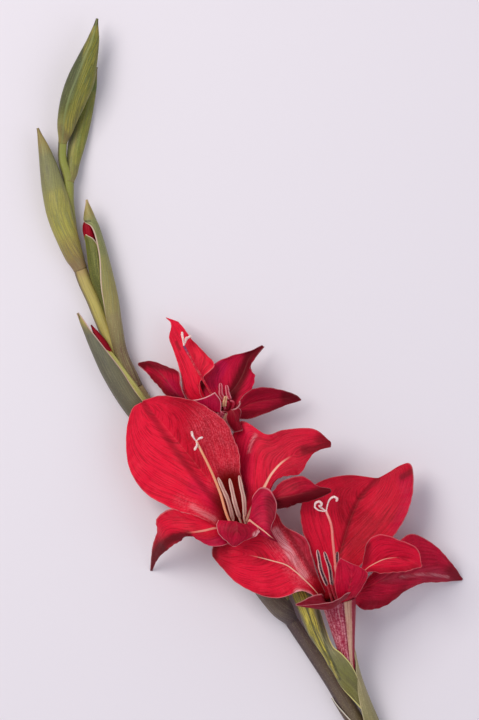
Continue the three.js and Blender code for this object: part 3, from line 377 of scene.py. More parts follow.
# the style of each flower, from the mouth of its funnel to the stigma
STYLES = {
    "flower_1": [(217.5, 411, 19.4), (213.5, 398, 23.2), (198, 371, 26), (184, 346, 22.7)],
    "flower_2": [(231, 524, 26.5), (220, 492, 27.5), (210, 468, 29), (196.5, 441, 29.5)],
    "flower_3": [(338, 588, 31.2), (333, 545, 33.2), (331, 525, 33), (326, 511, 32.5)],
}
# the branches of each stigma, from the style's end
STIGMAS = {
    "flower_1": [
        [(184, 346, 22.7), (183, 339, 23), (182, 332, 22.2)],
        [(184, 346, 22.7), (185.5, 341, 24), (187, 337, 25)],
        [(184, 346, 22.7), (187, 339, 22.6), (191.5, 335.5, 21.8)]],
    "flower_2": [
        [(196.5, 441, 29.5), (193.5, 437, 30.3), (191.5, 431, 30.6)],
        [(196.5, 441, 29.5), (199, 438.5, 30.6), (203, 437, 31)],
        [(196.5, 441, 29.5), (197, 445, 30.8), (194.5, 450, 31.4)]],
    "flower_3": [
        [(326, 511, 32.5), (322, 510.5, 33.4), (318, 509.5, 34), (314.6, 506.5, 34.2), (315.5, 502.4, 34.3),
            (319, 501.2, 34.3), (321.4, 503.6, 34.2), (320, 506.4, 34)],
        [(326, 511, 32.5), (327, 505.5, 33.6), (329, 499.5, 34.2), (333, 496.5, 34.5), (336.8, 498.2, 34.4),
            (336, 501, 34.2)],
        [(326, 511, 32.5), (321.5, 507.5, 33.6), (318.6, 504.8, 34.9)]],
}
# A funnel's half width as a share of its mouth's, from its base at 0 to its mouth at 1. The
# third flower has its own, and a foot that bends down between its bracts to the stem;
# FOOT_RADII runs along that foot.
FLARE = [(0, 0.25), (0.3, 0.28), (0.5, 0.38), (0.7, 0.62), (0.87, 0.84), (1, 1)]
FOOT_RADII = [2.2, 2.3, 2.2, 1.2, 0.8]


# ---------- curves ----------
def at(p):
    """A grid point and its height as x, y and z."""
    return np.array([(p[0] - CENTRE[0]) * STEP, (CENTRE[1] - p[1]) * STEP, p[2]])


def through(points, t, flat_ends=False):
    """A smooth curve through points, read at each t from 0 to 1."""
    points = np.asarray(points, float)
    if points.ndim == 1:
        points = points[:, None]
    n = len(points) - 1
    first = points[0] if flat_ends else 2 * points[0] - points[1]
    last = points[-1] if flat_ends else 2 * points[-1] - points[-2]
    p = np.vstack([first, points, last])
    x = np.asarray(t, float) * n
    i = np.clip(np.floor(x).astype(int), 0, n - 1)
    f = (x - i)[:, None]
    a, b, c, d = p[i], p[i + 1], p[i + 2], p[i + 3]
    return b + 0.5 * f * (c - a + f * (2 * a - 5 * b + 4 * c - d + f * (3 * b - a - 3 * c + d)))


def path_of(rows, t):
    """The smooth path of rows that each start with a grid point and a height."""
    return through([at(row) for row in rows], t)


def column(rows, k, t):
    """Number k of the rows, read smoothly along their path."""
    return through([row[k] for row in rows], t, flat_ends=True)


def steps_of(points):
    """The distances from each point of a path to the next."""
    return np.linalg.norm(np.diff(points, axis=0), axis=1)


def unit(v):
    return v / np.maximum(np.linalg.norm(v, axis=-1, keepdims=True), 1e-9)


def directions(points):
    """Directions across a path: side is level, to the right of its run; rise is up from it."""
    run = unit(np.gradient(points, axis=0))
    side = unit(np.cross(run, [0, 0, 1]))
    return side, np.cross(side, run)


def normals(grid):
    """The direction straight out of a grid at each of its points."""
    return unit(np.cross(np.gradient(grid, axis=1), np.gradient(grid, axis=0)))


def smooth(low, high, x):
    """0 below low, 1 above high, and a soft rise between."""
    s = np.clip((np.asarray(x, float) - low) / (high - low), 0, 1)
    return s * s * (3 - 2 * s)


def drift(points, size, seed):
    """Slow random numbers from -1 to 1 over space, one per point, size mm across."""
    flat = np.asarray(points).reshape(-1, 3)
    values = [noise.noise(Vector(p / size) + Vector((seed * 7.3, seed * 3.1, 0))) for p in flat]
    return np.array(values).reshape(np.asarray(points).shape[:-1])


# ---------- meshes ----------
def piece(name, points, faces, layers, material, node, slot):
    """One mesh from mm points. layers: pairs of numbers per point are a map, threes a colour."""
    mesh = bpy.data.meshes.new(name)
    mesh.from_pydata((np.asarray(points) * MM).tolist(), [], faces)
    corner = np.empty(len(mesh.loops), int)
    mesh.loops.foreach_get("vertex_index", corner)
    for label, values in layers.items():
        if values.shape[1] == 2:
            mesh.uv_layers.new(name=label).data.foreach_set("uv", values[corner].ravel())
        else:
            colour = mesh.color_attributes.new(label, "FLOAT_COLOR", "POINT")
            whole = np.hstack([values, np.ones((len(values), 1))])
            colour.data.foreach_set("color", whole.ravel())
    mesh.shade_smooth()
    mesh.materials.append(material)
    made = bpy.data.objects.new(name, mesh)
    bpy.context.scene.collection.objects.link(made)
    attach(made, "root")
    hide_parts(node)


def layer(zero, *values):
    """A layer of numbers for a mesh: each value laid out over all of its points."""
    return np.stack([value + zero for value in values], -1)


def leaf(name, grid, thick, layers, *rest):
    """A thin closed blade on a grid of points: two faces, and a rim that joins them."""
    nu, nv = grid.shape[:2]
    half = normals(grid) * (np.broadcast_to(thick, (nu, nv))[..., None] / 2)
    upper, under = grid + half, grid - half
    lift = np.maximum(0, CLEAR - np.minimum(upper[..., 2], under[..., 2]))
    upper[..., 2] += lift
    under[..., 2] += lift
    ids = np.arange(nu * nv).reshape(nu, nv)
    a, b, c, d = ids[:-1, :-1], ids[:-1, 1:], ids[1:, 1:], ids[1:, :-1]
    quads = np.stack([a, b, c, d], -1).reshape(-1, 4)
    back = nu * nv
    rims = []
    for edge in (ids[:, 0], ids[::-1, -1], ids[0, ::-1], ids[-1, :]):
        rims.append(np.stack([edge[:-1], edge[1:], edge[1:] + back, edge[:-1] + back], -1))
    faces = np.vstack([quads, quads[:, ::-1] + back, *rims]).tolist()
    points = np.vstack([upper.reshape(-1, 3), under.reshape(-1, 3)])
    doubled = {k: np.vstack([v.reshape(nu * nv, -1)] * 2) for k, v in layers.items()}
    return piece(name, points, faces, doubled, *rest)


def rod(centres, radius_at, around):
    """A closed rod's points and faces, and a colour for each point: the cosine and the sine of
    its angle round the rod, and its length along it. radius_at(t, angle) is its radius."""
    side, rise = directions(centres)
    steps = len(centres)
    t = np.linspace(0, 1, steps)[:, None]
    angle = np.linspace(0, 2 * math.pi, around, endpoint=False)[None, :]
    r = radius_at(t, angle) + 0 * t * angle
    across, up = (r * np.cos(angle))[..., None], (r * np.sin(angle))[..., None]
    ring = centres[:, None] + side[:, None] * across + rise[:, None] * up
    ring[..., 2] = np.maximum(ring[..., 2], CLEAR)
    ids = np.arange(steps * around).reshape(steps, around)
    nxt = np.roll(ids, -1, axis=1)
    quads = np.stack([ids[:-1], ids[1:], nxt[1:], nxt[:-1]], -1).reshape(-1, 4).tolist()
    length = np.concatenate([[0], np.cumsum(steps_of(centres))])
    place = layer(0 * t * angle, np.cos(angle), np.sin(angle), length[:, None] / MAP)
    return ring.reshape(-1, 3), quads + [ids[0].tolist(), ids[-1, ::-1].tolist()], place.reshape(-1, 3)


def joined(*parts):
    """Several (points, faces, colours) as one."""
    points, faces, colours, n = [], [], [], 0
    for p, f, c in parts:
        faces += [[i + n for i in face] for face in f]
        points.append(p)
        colours.append(c)
        n += len(p)
    return np.vstack(points), faces, np.vstack(colours)


# ---------- materials ----------
def tone(code):
    """An sRGB hex colour as linear red, green, blue and alpha."""
    parts = [int(code[i:i + 2], 16) / 255 for i in (1, 3, 5)]
    return (*[c / 12.92 if c <= 0.04045 else ((c + 0.055) / 1.055) ** 2.4 for c in parts], 1)


# the settings that most nodes of a kind have here
USUAL = {
    "Mix": {"data_type": "RGBA"},
    "MapRange": {"interpolation_type": "SMOOTHSTEP"},
    "Math": {"operation": "MULTIPLY"},
}


def feed(socket, value):
    """Gives an input a number or a colour, or links it to an output, a node's first one in use."""
    if isinstance(value, bpy.types.Node):
        value = next(output for output in value.outputs if output.enabled)
    if isinstance(value, bpy.types.NodeSocket):
        socket.id_data.links.new(value, socket)
    else:
        socket.default_value = value


def add(tree, kind, *values, named=None, stops=(), **settings):
    """One node with its settings, fed with values in the order of its inputs in use, and with
    named ones by name. Mix takes the amount, what lies under and what lies over; MapRange a
    value, its low and high, and what it gives below and above them, with 0 and 1 if left out."""
    node = tree.nodes.new("ShaderNode" + kind)
    for key, value in {**USUAL.get(kind, {}), **settings}.items():
        setattr(node, key, value)
    for socket, value in zip([socket for socket in node.inputs if socket.enabled], values):
        feed(socket, value)
    for key, value in (named or {}).items():
        feed(node.inputs[key], value)
    for i, (where, colour) in enumerate(stops):
        ramp = node.color_ramp.elements
        stop = ramp[i] if i < len(ramp) else ramp.new(where)
        stop.position, stop.color = where, colour
    return node


def finish_of(name, roughness, ior, sheen=0.0, subsurface=0.0, spread=1 * MM, gloss=0.5):
    """An empty material; its shader, with the numbers that are the same all over it; and the
    function that adds a node to it. spread: how far light travels under the surface."""
    material = bpy.data.materials.new(name)
    material.use_nodes = True
    tree = material.node_tree
    tree.nodes.clear()
    shader = add(tree, "BsdfPrincipled", named={
        "Roughness": roughness, "IOR": ior, "Specular IOR Level": gloss,
        "Sheen Weight": sheen, "Sheen Roughness": 0.4, "Subsurface Weight": subsurface,
        "Subsurface Radius": (1, 0.3, 0.2), "Subsurface Scale": spread})
    add(tree, "OutputMaterial", shader)
    return material, shader, partial(add, tree)


def dress(shader, node, colour, height, strength, depth):
    """Gives a shader its colour, and its relief from a height, up to depth."""
    feed(shader.inputs["Base Color"], colour)
    relief = node("Bump", named={"Strength": strength, "Distance": depth, "Height": height})
    feed(shader.inputs["Normal"], relief)


def mask(node, name):
    """The red, green and blue of a colour that the mesh carries, as three numbers."""
    return node("SeparateColor", node("Attribute", attribute_name=name)).outputs


def chart(node, name):
    """The two numbers of a map that the mesh carries."""
    return node("SeparateXYZ", node("UVMap", uv_map=name)).outputs


def streaks(node, veins, wide, long):
    """Noise drawn out along the veins, wide by long in mm."""
    drawn = node("CombineXYZ", node("Math", veins[0], MAP / wide), node("Math", veins[1], MAP / long))
    return node("TexNoise", drawn, 1.0, 2.0, 0.6)


def petal_skin():
    """Fresh tepal: thin juicy tissue with a velvet of tiny domed cells, so it has a deep
    saturated red with hardly any gloss, fine veins that fan out from the midrib, and light
    that glows through its margins."""
    material, shader, node = finish_of(
        "gladiolus petal tissue", 0.5, 1.4, sheen=0.03, subsurface=0.1, gloss=0.14)
    span, size, veins = [chart(node, name) for name in ("span", "size", "veins")]
    marks, tints, lines = [mask(node, name) for name in ("marks", "tints", "lines")]
    where = node("TexCoord").outputs["Object"]
    # broad patches of lighter and deeper red, about 9 mm across
    patches = node("TexNoise", where, 1 / (9 * MM), 3.0, 0.55)
    red = node("ValToRGB", patches, stops=[
        (0.28, tone("#8c0618")), (0.5, tone("#b80a24")), (0.72, tone("#d81030"))])
    # along its length, darkest at its foot: painted shade deep in the throat
    along = node("ValToRGB", span[1], stops=[
        (0.0, tone("#780410")), (0.16, tone("#a0081a")), (0.45, tone("#c00c28")), (1.0, tone("#a80a28"))])
    red = node("Mix", 0.5, red, along)
    # scarlet where the light catches it, magenta and dull rose where the tissue turns
    red = node("Mix", node("Math", tints[0], 0.85), red, tone("#f0183c"))
    red = node("Mix", node("Math", tints[1], 0.6), red, tone("#b40c54"))
    # veins 0.6 mm apart, and broader lengthwise streaks of tone 2.5 mm across
    vein = streaks(node, veins, 0.6, 9)
    dull = node("Math", tints[2], node("MapRange", vein, 0.34, 0.62, 0.95, 0.35))
    red = node("Mix", dull, red, tone("#a8465c"))
    red = node("Mix", node("MapRange", vein, 0.5, 0.66, 0.0, 0.42), red, tone("#6c0414"))
    red = node("Mix", node("MapRange", vein, 0.5, 0.34, 0.0, 0.17), red, tone("#f03450"))
    broad = streaks(node, veins, 2.5, 26)
    red = node("Mix", node("MapRange", broad, 0.5, 0.7, 0.0, 0.35), red, tone("#7c0618"))
    red = node("Mix", node("MapRange", broad, 0.48, 0.3, 0.0, 0.2), red, tone("#e8183c"))
    # salmon patch, a painted highlight where the velvet catches the light, broken up by speckles 0.9 mm
    # apart
    speck = node("TexNoise", where, 1 / (0.9 * MM), 2.0)
    between = node("MapRange", vein, 0.34, 0.6, 1.0, 0.4)
    speckles = node("Math", node("MapRange", speck, 0.4, 0.62, 0.3, 1.0), between)
    red = node("Mix", node("Math", marks[1], node("Math", speckles, 0.8)), red, tone("#f46474"))
    red = node("Mix", node("MapRange", speck, 0.5, 0.68, 0.0, 0.05), red, tone("#f46070"))
    # painted shade: deeper red in folds, creases and under curled margins, and in the throat;
    # and pinkish white, partly where the tissue thins and partly painted highlight on lit ridges
    red = node("Mix", marks[2], red, tone("#58040f"))
    red = node("Mix", marks[0], red, tone("#6c0604"))
    thin = node("Math", lines[2], node("MapRange", vein, 0.36, 0.6, 1.0, 0.25))
    red = node("Mix", thin, red, tone("#f4bcc0"))
    # pale midrib, and a pale rim 0.5 mm wide, a painted highlight where light shows through the thin margins
    from_rib = node("Math", node("Math", size[0], 0.5, operation="SUBTRACT"), operation="ABSOLUTE")
    rib = node("Math", node("MapRange", from_rib, 0.006, 0.012, 1.0, 0.0), lines[0])
    red = node("Mix", rib, red, tone("#f2b8a0"))
    rim = node("Math", node("MapRange", size[1], 0.001, 0.005, 1.0, 0.0), lines[1])
    red = node("Mix", rim, red, tone("#f4b0b4"))
    feed(shader.inputs["Sheen Tint"], tone("#ff7080"))
    # relief: veins, crinkles 2.8 mm apart, and cells 0.5 mm apart
    crinkle = node("TexNoise", where, 1 / (2.8 * MM), 2.0)
    cells = node("TexNoise", where, 1 / (0.5 * MM), 1.0)
    height = node("Math", node("Math", vein, -0.7), node("Math", crinkle, 0.6), operation="ADD")
    height = node("Math", height, node("Math", cells, 0.2), operation="ADD")
    dress(shader, node, red, height, 0.6, 0.4 * MM)
    return material


def funnel_skin():
    """Flower tube: the petals' tissue grown together, dull rose and speckled outside, with a
    cream stripe where a front petal's midrib runs on down it, deeper red down one side as painted
    shade, and nearly black red inside, painted shade deep in the tube."""
    material, shader, node = finish_of(
        "gladiolus tube tissue", 0.5, 1.4, sheen=0.05, subsurface=0.1, gloss=0.25)
    place, marks = mask(node, "place"), mask(node, "marks")
    where = node("TexCoord").outputs["Object"]
    speck = node("TexNoise", where, 1 / (1.1 * MM), 2.0)
    rose = node("ValToRGB", speck, stops=[
        (0.36, tone("#9c2c44")), (0.5, tone("#c0586c")), (0.64, tone("#d88c98"))])
    # lengthwise streaks, about 1 mm wide on a tube 15 mm across
    drawn = node("CombineXYZ", *[node("Math", place[i], often) for i, often in enumerate((8.0, 8.0, 3.0))])
    streak = node("TexNoise", drawn, 1.0, 3.0)
    rose = node("Mix", node("MapRange", streak, 0.48, 0.62, 0.0, 0.75), rose, tone("#a01434"))
    rose = node("Mix", node("MapRange", streak, 0.46, 0.34, 0.0, 0.6), rose, tone("#e0a8a4"))
    # cream stripe on the right of the front, with a dark line down its left side
    cream = node("Math", node("MapRange", place[0], 0.22, 0.34), node("MapRange", place[0], 0.74, 0.64))
    cream = node("Math", cream, node("MapRange", streak, 0.4, 0.6, 0.95, 0.5))
    rose = node("Mix", cream, rose, tone("#dcb494"))
    line = node("Math", node("MapRange", place[0], 0.14, 0.2), node("MapRange", place[0], 0.28, 0.2))
    rose = node("Mix", node("Math", line, 0.7), rose, tone("#5c1420"))
    # deeper red down the side past the stripe: painted shade where the tube turns from the light
    rose = node("Mix", node("MapRange", place[0], 0.64, 0.76, 0.0, 0.92), rose, tone("#98082c"))
    # nearly black red inside the tube: painted shade
    rose = node("Mix", marks[0], rose, tone("#5a0408"))
    dress(shader, node, rose, streak, 0.5, 0.3 * MM)
    return material


def bract_skin(name, foot, low, high, tip, flank_flush_and_shade, light, rim, tip_from=0.93):
    """Green bract: leaf tissue with a thin dull wax, stiff parallel veins, a firm keel and a
    papery margin. foot, low, high and tip run along it; flank is its left side, flushed greyer
    and darkened with painted shade, and light its veins and the painted highlight on its keel."""
    material, shader, node = finish_of(
        name, 0.5, 1.45, sheen=0.03, subsurface=0.05, spread=0.8 * MM, gloss=0.35)
    span, size, veins = [chart(node, label) for label in ("span", "size", "veins")]
    marks, tints = mask(node, "marks"), mask(node, "tints")
    where = node("TexCoord").outputs["Object"]
    # the length at which one colour turns into the next wanders by a few mm
    uneven = node("TexNoise", where, 1 / (6 * MM), 3.0)
    length = node("Math", span[1], node("Math", uneven, 0.06), operation="ADD")
    green = node("ValToRGB", length, stops=[
        (0.07, tone(foot)), (0.3, tone(low)), (0.68, tone(high)),
        (tip_from - 0.04, tone(high)), (min(1, tip_from + 0.08), tone(tip))])
    # its left side: a greyer flush, with painted shade over it
    green = node("Mix", marks[2], green, tone(flank_flush_and_shade))
    # parallel veins about 0.5 mm apart: lighter and deeper streaks, strongest on yellow
    vein = streaks(node, veins, 0.5, 14)
    yellow = node("Mix", node("MapRange", vein, 0.42, 0.56), tone("#dccc54"), tone("#706820"))
    green = node("Mix", tints[0], green, yellow)
    flushed = node("Math", tints[1], node("MapRange", vein, 0.4, 0.58, 0.35, 1.0))
    green = node("Mix", flushed, green, tone("#6c4c40"))
    green = node("Mix", tints[2], green, tone("#343820"))
    green = node("Mix", node("MapRange", vein, 0.5, 0.68, 0.0, 0.5), green, tone(light))
    green = node("Mix", node("MapRange", vein, 0.48, 0.34, 0.0, 0.45), green, tone(flank_flush_and_shade))
    broad = streaks(node, veins, 2.4, 30)
    green = node("Mix", node("MapRange", broad, 0.5, 0.7, 0.0, 0.35), green, tone(flank_flush_and_shade))
    # pores and wax grains 0.5 mm apart
    grain = node("TexNoise", where, 1 / (0.5 * MM), 2.0)
    green = node("Mix", node("MapRange", grain, 0.56, 0.7, 0.0, 0.4), green, tone(light))
    green = node("Mix", node("MapRange", grain, 0.44, 0.32, 0.0, 0.3), green, tone(flank_flush_and_shade))
    # keel: a soft lighter line 0.8 mm wide, a painted highlight along its ridge
    from_keel = node("Math", node("Math", size[0], 0.5, operation="SUBTRACT"), operation="ABSOLUTE")
    keel = node("MapRange", from_keel, 0.0, 0.008, 1.0, 0.0)
    green = node("Mix", node("Math", keel, marks[1]), green, tone(light))
    # papery margin 0.5 mm wide
    margin = node("Math", node("MapRange", size[1], 0.003, 0.008, 1.0, 0.0), marks[0])
    green = node("Mix", margin, green, tone(rim))
    height = node("Math", node("Math", vein, 0.8), node("Math", grain, 0.3), operation="ADD")
    dress(shader, node, green, height, 0.5, 0.3 * MM)
    return material


def stem_skin():
    """Flower stalk: smooth waxed rind, yellow green between the buds and flushed purplish
    brown lower down, darker along its left side, with faint lengthwise streaks."""
    material, shader, node = finish_of(
        "gladiolus stem rind", 0.46, 1.45, sheen=0.03, subsurface=0.04, gloss=0.4)
    place = mask(node, "place")
    where = node("TexCoord").outputs["Object"]
    # by length from the top, over 440 mm: green among the top buds, a brown flush under the
    # third, pale yellow green to the fifth, and purplish brown under the flowers
    uneven = node("TexNoise", where, 1 / (5 * MM), 3.0)
    length = node("Math", node("Math", place[2], MAP / 440), node("Math", uneven, 0.012), operation="ADD")
    rind = node("ValToRGB", length, stops=[
        (0.0, tone("#8c9440")), (0.12, tone("#8c8c40")), (0.15, tone("#a88c5c")), (0.165, tone("#b8a860")),
        (0.2, tone("#b8ac5c")), (0.26, tone("#b4a454")), (0.31, tone("#8c7850")), (0.5, tone("#74685c")),
        (0.57, tone("#6c5c58")), (0.63, tone("#564446")), (0.72, tone("#645448")), (0.8, tone("#6c6044")),
        (0.98, tone("#5c4c44"))])
    # streaks about 0.5 mm wide and 12 mm long round the stalk
    around = node("CombineXYZ", *[node("Math", place[i], 5.0) for i in range(3)])
    streak = node("TexNoise", around, 1.6, 4.0)
    rind = node("Mix", node("MapRange", streak, 0.5, 0.7, 0.0, 0.4), rind, tone("#8c8058"))
    rind = node("Mix", node("MapRange", streak, 0.45, 0.3, 0.0, 0.35), rind, tone("#4c3c3c"))
    rind = node("Mix", node("MapRange", place[0], 0.45, 0.95, 0.0, 0.75), rind, tone("#3c2830"))
    olive = node("Math", node("MapRange", place[0], 0.2, -0.5), node("MapRange", length, 0.72, 0.84))
    rind = node("Mix", olive, rind, tone("#665c20"))
    grain = node("TexNoise", where, 1 / (0.6 * MM), 2.0)
    rind = node("Mix", node("MapRange", grain, 0.56, 0.7, 0.0, 0.3), rind, tone("#b0a484"))
    dress(shader, node, rind, streak, 0.35, 0.3 * MM)
    return material


def pollen_skin(name, groove, skin, edge):
    """Anther: dry matt skin over packed pollen, dusty, with a darker groove down its face
    and paler edges where it has split."""
    material, shader, node = finish_of(name, 0.8, 1.45, sheen=0.1, gloss=0.2)
    place = mask(node, "place")
    where = node("TexCoord").outputs["Object"]
    grain = node("TexNoise", where, 1 / (0.5 * MM), 2.0)
    across = node("Math", place[0], operation="ABSOLUTE")
    dust = node("Mix", node("MapRange", across, 0.5, 0.85), tone(skin), tone(edge))
    dust = node("Mix", node("MapRange", grain, 0.45, 0.65, 0.0, 0.35), dust, tone(edge))
    dust = node("Mix", node("MapRange", across, 0.04, 0.24, 0.85, 0.0), dust, tone(groove))
    dress(shader, node, dust, grain, 0.6, 0.2 * MM)
    return material


def stalk_skin(name, foot, top, end):
    """Filament and style: a wet, smooth, slightly see-through thread, from red at its foot to
    its own colour, and another at its very end."""
    material, shader, node = finish_of(name, 0.4, 1.4, subsurface=0.15, spread=0.8 * MM, gloss=0.35)
    place = mask(node, "place")
    where = node("TexCoord").outputs["Object"]
    colour = node("ValToRGB", place[2], stops=[
        (0.05, tone(foot)), (0.35, tone(top)), (0.9, tone(top)), (0.98, tone(end))])
    flecks = node("TexNoise", where, 1 / (1.5 * MM), 2.0)
    colour = node("Mix", node("MapRange", flecks, 0.5, 0.7, 0.0, 0.12), colour, tone("#f4c8b4"))
    feed(shader.inputs["Base Color"], colour)
    return material


def stigma_skin():
    """Stigma branches: white papery fringe of tiny hairs."""
    material, shader, node = finish_of(
        "gladiolus stigma fringe", 0.6, 1.4, sheen=0.3, subsurface=0.2, spread=0.8 * MM)
    where = node("TexCoord").outputs["Object"]
    hairs = node("TexNoise", where, 1 / (0.6 * MM), 2.0)
    white = node("ValToRGB", hairs, stops=[
        (0.3, tone("#e0a8a8")), (0.5, tone("#f0d0cc")), (0.7, tone("#fcf2ee"))])
    dress(shader, node, white, hairs, 0.7, 0.2 * MM)
    return material


PETAL = petal_skin()
FUNNEL = funnel_skin()
STEM_RIND = stem_skin()
# pollen sacs and their threads: cream and red in the first flower, mauve in the second, and
# nearly black purple with pale edges in the third
ANTHERS = {
    "flower_1": pollen_skin("gladiolus young anther", "#8c3c30", "#c88468", "#e4bc90"),
    "flower_1_red": pollen_skin("gladiolus red anther", "#6c0c20", "#b81838", "#e88c98"),
    "flower_2": pollen_skin("gladiolus mauve anther", "#744450", "#c49088", "#e8c4b4"),
    "flower_3": pollen_skin("gladiolus dark anther", "#180618", "#34102c", "#e8b8b4"),
}
FILAMENTS = {
    "flower_1": stalk_skin("gladiolus red filament", "#7c0c1c", "#c42844", "#dc6478"),
    "flower_2": stalk_skin("gladiolus pale filament", "#c48470", "#dcac9c", "#dcb0a0"),
    "flower_3": stalk_skin("gladiolus pink filament", "#7c0c1c", "#c8384c", "#e07c80"),
}
STYLE_STALK = {
    "flower_1": stalk_skin("gladiolus red style", "#6c0814", "#c01030", "#7c2c5c"),
    "flower_2": stalk_skin("gladiolus salmon style", "#c86848", "#eca47c", "#f0bc9c"),
    "flower_3": stalk_skin("gladiolus pink style", "#a01c30", "#e8847c", "#f0a49c"),
}
STIGMA = stigma_skin()

# the inner bracts of the three upper buds look alike
UPPER_INNER_LOOK = dict(slot="bract_yellow_green", flank_flush_and_shade=0, keel=0.1, rim=0.5,
    colours=("#8c8448", "#8c9440", "#8c9440", "#9c8444", "#5c6438", "#a8ac5c", "#6c5c34"))
# How each bract is coloured: foot, low, high, tip, left side, veins and rim, the vein colour
# also its keel's painted highlight; where its tip colour starts; how strong its flank (a greyer
# flush and painted shade on its left side), keel highlight and rim are; and strokes laid on it
# as on tepals.
BRACT_LOOKS = {
    "bud_a_outer_bract": dict(slot="bract_green", flank_flush_and_shade=0.75, keel=0.5, rim=0.7,
        colours=("#94884c", "#6c702c", "#48581c", "#8c7840", "#444430", "#808c58", "#443424"), strokes=[
            ("yellow", 6, 0.4, [(97, 28), (94, 50), (91, 72), (84, 100), (74, 126)]),
            ("brown", 3, 0.5, [(62, 128), (66, 137)]), ("dark", 1.4, 0.8, [(97.4, 18), (95, 24)])]),
    "bud_a_inner_bract": UPPER_INNER_LOOK,
    "bud_b_outer_bract": dict(slot="bract_green", flank_flush_and_shade=0.75, keel=0.15, rim=0.7, tip_from=0.9,
        colours=("#8c8048", "#707830", "#586828", "#8c8048", "#5c5048", "#94a058", "#6c5838"), strokes=[
            ("yellow", 6, 0.3, [(91, 100), (88, 120), (83, 140), (78, 155)])]),
    "bud_b_inner_bract": UPPER_INNER_LOOK,
    "bud_c_outer_bract": dict(slot="bract_olive", flank_flush_and_shade=0.35, keel=0.12, rim=0.6, tip_from=0.85,
        colours=("#a08458", "#9c9c4c", "#84845a", "#a89454", "#68604c", "#9c9c64", "#74583c"), strokes=[
            ("yellow", 13, 0.36, [(60, 210), (70, 240)]), ("brown", 9, 0.5, [(69, 250), (75, 266)])]),
    "bud_c_inner_bract": UPPER_INNER_LOOK,
    "bud_d_outer_bract": dict(slot="bract_olive", flank_flush_and_shade=0.25, keel=0.15, rim=0.85, tip_from=0.9,
        colours=("#4c3028", "#908058", "#808654", "#a88c48", "#807c50", "#a8a870", "#d8bcac"), strokes=[
            ("brown", 8, 1.0, [(124, 352), (130, 368), (138, 388)]),
            ("yellow", 9, 0.2, [(104, 270), (108, 300)]),
            ("dark", 0.6, 0.8, [(82.5, 221.6), (90, 221.2)])]),
    "bud_d_inner_bract": dict(slot="bract_green", flank_flush_and_shade=0.1, keel=0.3, rim=0.8,
        colours=("#4c5020", "#585c24", "#6c7030", "#8c8c40", "#3c4020", "#989448", "#d8bcac")),
    "bud_e_outer_bract": dict(slot="bract_olive", flank_flush_and_shade=0.55, keel=0.1, rim=0.9, tip_from=0.84,
        colours=("#584838", "#6c6448", "#6a6a54", "#bca848", "#58544c", "#848064", "#d8b4a8"), strokes=[
            ("dark", 1.4, 0.7, [(77.6, 313), (78, 318)])]),
    "bud_e_inner_bract": dict(slot="bract_yellow_green", flank_flush_and_shade=0, keel=0.2, rim=0.5,
        colours=("#a8a458", "#b4b060", "#bcb864", "#c4b470", "#8c8c40", "#d0cc84", "#e0c8a8")),
    "flower_1_outer_bract": dict(slot="bract_olive", flank_flush_and_shade=0.3, keel=0.1, rim=0.4,
        colours=("#6c6448", "#7c7c4c", "#7c804c", "#9c8c54", "#5c5848", "#98986c", "#c8b098")),
    "flower_1_inner_bract": dict(slot="bract_yellow_green", flank_flush_and_shade=0, keel=0.1, rim=0.4,
        colours=("#8c8448", "#949440", "#949440", "#9c8444", "#5c6438", "#a8ac5c", "#c8b098")),
    "flower_2_outer_bract": dict(slot="bract_grey_brown", flank_flush_and_shade=0.35, keel=0.05, rim=0.3,
        colours=("#58484a", "#6c5c4c", "#8c8060", "#948c64", "#544444", "#94886c", "#a89878")),
    "flower_2_inner_bract": dict(slot="bract_yellow_green", flank_flush_and_shade=0, keel=0.1, rim=0.5,
        colours=("#8c8c44", "#949c44", "#989c48", "#a89c54", "#5c6438", "#b0b468", "#d0c0a0")),
    "flower_3_outer_bract": dict(slot="bract_yellow_green", flank_flush_and_shade=0, keel=0.2, rim=1.0,
        colours=("#70682c", "#7c7c44", "#746c58", "#a8a044", "#5c5440", "#98945c", "#e0d888"), strokes=[
            ("yellow", 4.2, 1.0, [(298, 592), (307, 609)]),
            ("yellow", 3.5, 1.0, [(307, 609), (314.5, 631)]),
            ("yellow", 2.3, 1.0, [(314.5, 631), (323, 650)]),
            ("yellow", 1.6, 1.0, [(323, 650), (330, 662)]),
            ("yellow", 0.8, 1.0, [(330, 662), (338, 677)]),
            ("dark", 0.7, 0.8, [(306, 606), (313, 626), (321, 645), (330, 662)]),
            ("dark", 0.8, 0.7, [(317, 609), (319.5, 621), (324, 638), (327.5, 650), (333, 662),
                (340, 678)])]),
    "flower_3_inner_bract": dict(slot="bract_khaki", flank_flush_and_shade=0.1, keel=0.15, rim=0.6,
        colours=("#6c6448", "#8c8458", "#a89c70", "#b4a470", "#74704c", "#c4b890", "#c8bc94")),
    "stem_sheath": dict(slot="bract_khaki", flank_flush_and_shade=0.3, keel=0.05, rim=0.9,
        colours=("#64544c", "#645044", "#604c40", "#685848", "#4c3c38", "#7c6c54", "#dcd4c4")),
}


# ---------- pieces ----------
# in mm: a blade's thickness along its middle, and how much less of it there is at its rims
PETAL_THICK, PETAL_THINS = 0.42, 0.26
BRACT_THICK, BRACT_THINS = 0.62, 0.4
# in mm: how near the stem's axis a bract's foot must lie to clasp it, the length over which
# it closes on the rind, and the space left between
BESIDE, CLASP, CLASP_GAP = 3, 7, 0.07


def stem():
    """The stalk, with 5 and 11 faint ribs round it."""
    t = np.linspace(0, 1, 260)
    centres, radii = path_of(STEM, t), column(STEM, 3, t)
    wobble = drift(centres, 22, 1)[:, None] * 0.12

    def radius(t, angle):
        ribs = 0.07 * np.cos(5 * angle + 9 * t) + 0.04 * np.cos(11 * angle - 6 * t)
        return radii + wobble + ribs
    points, faces, place = rod(centres, radius, 32)
    piece("stem_stalk", points, faces, {"place": place}, STEM_RIND, "stem", "stem")


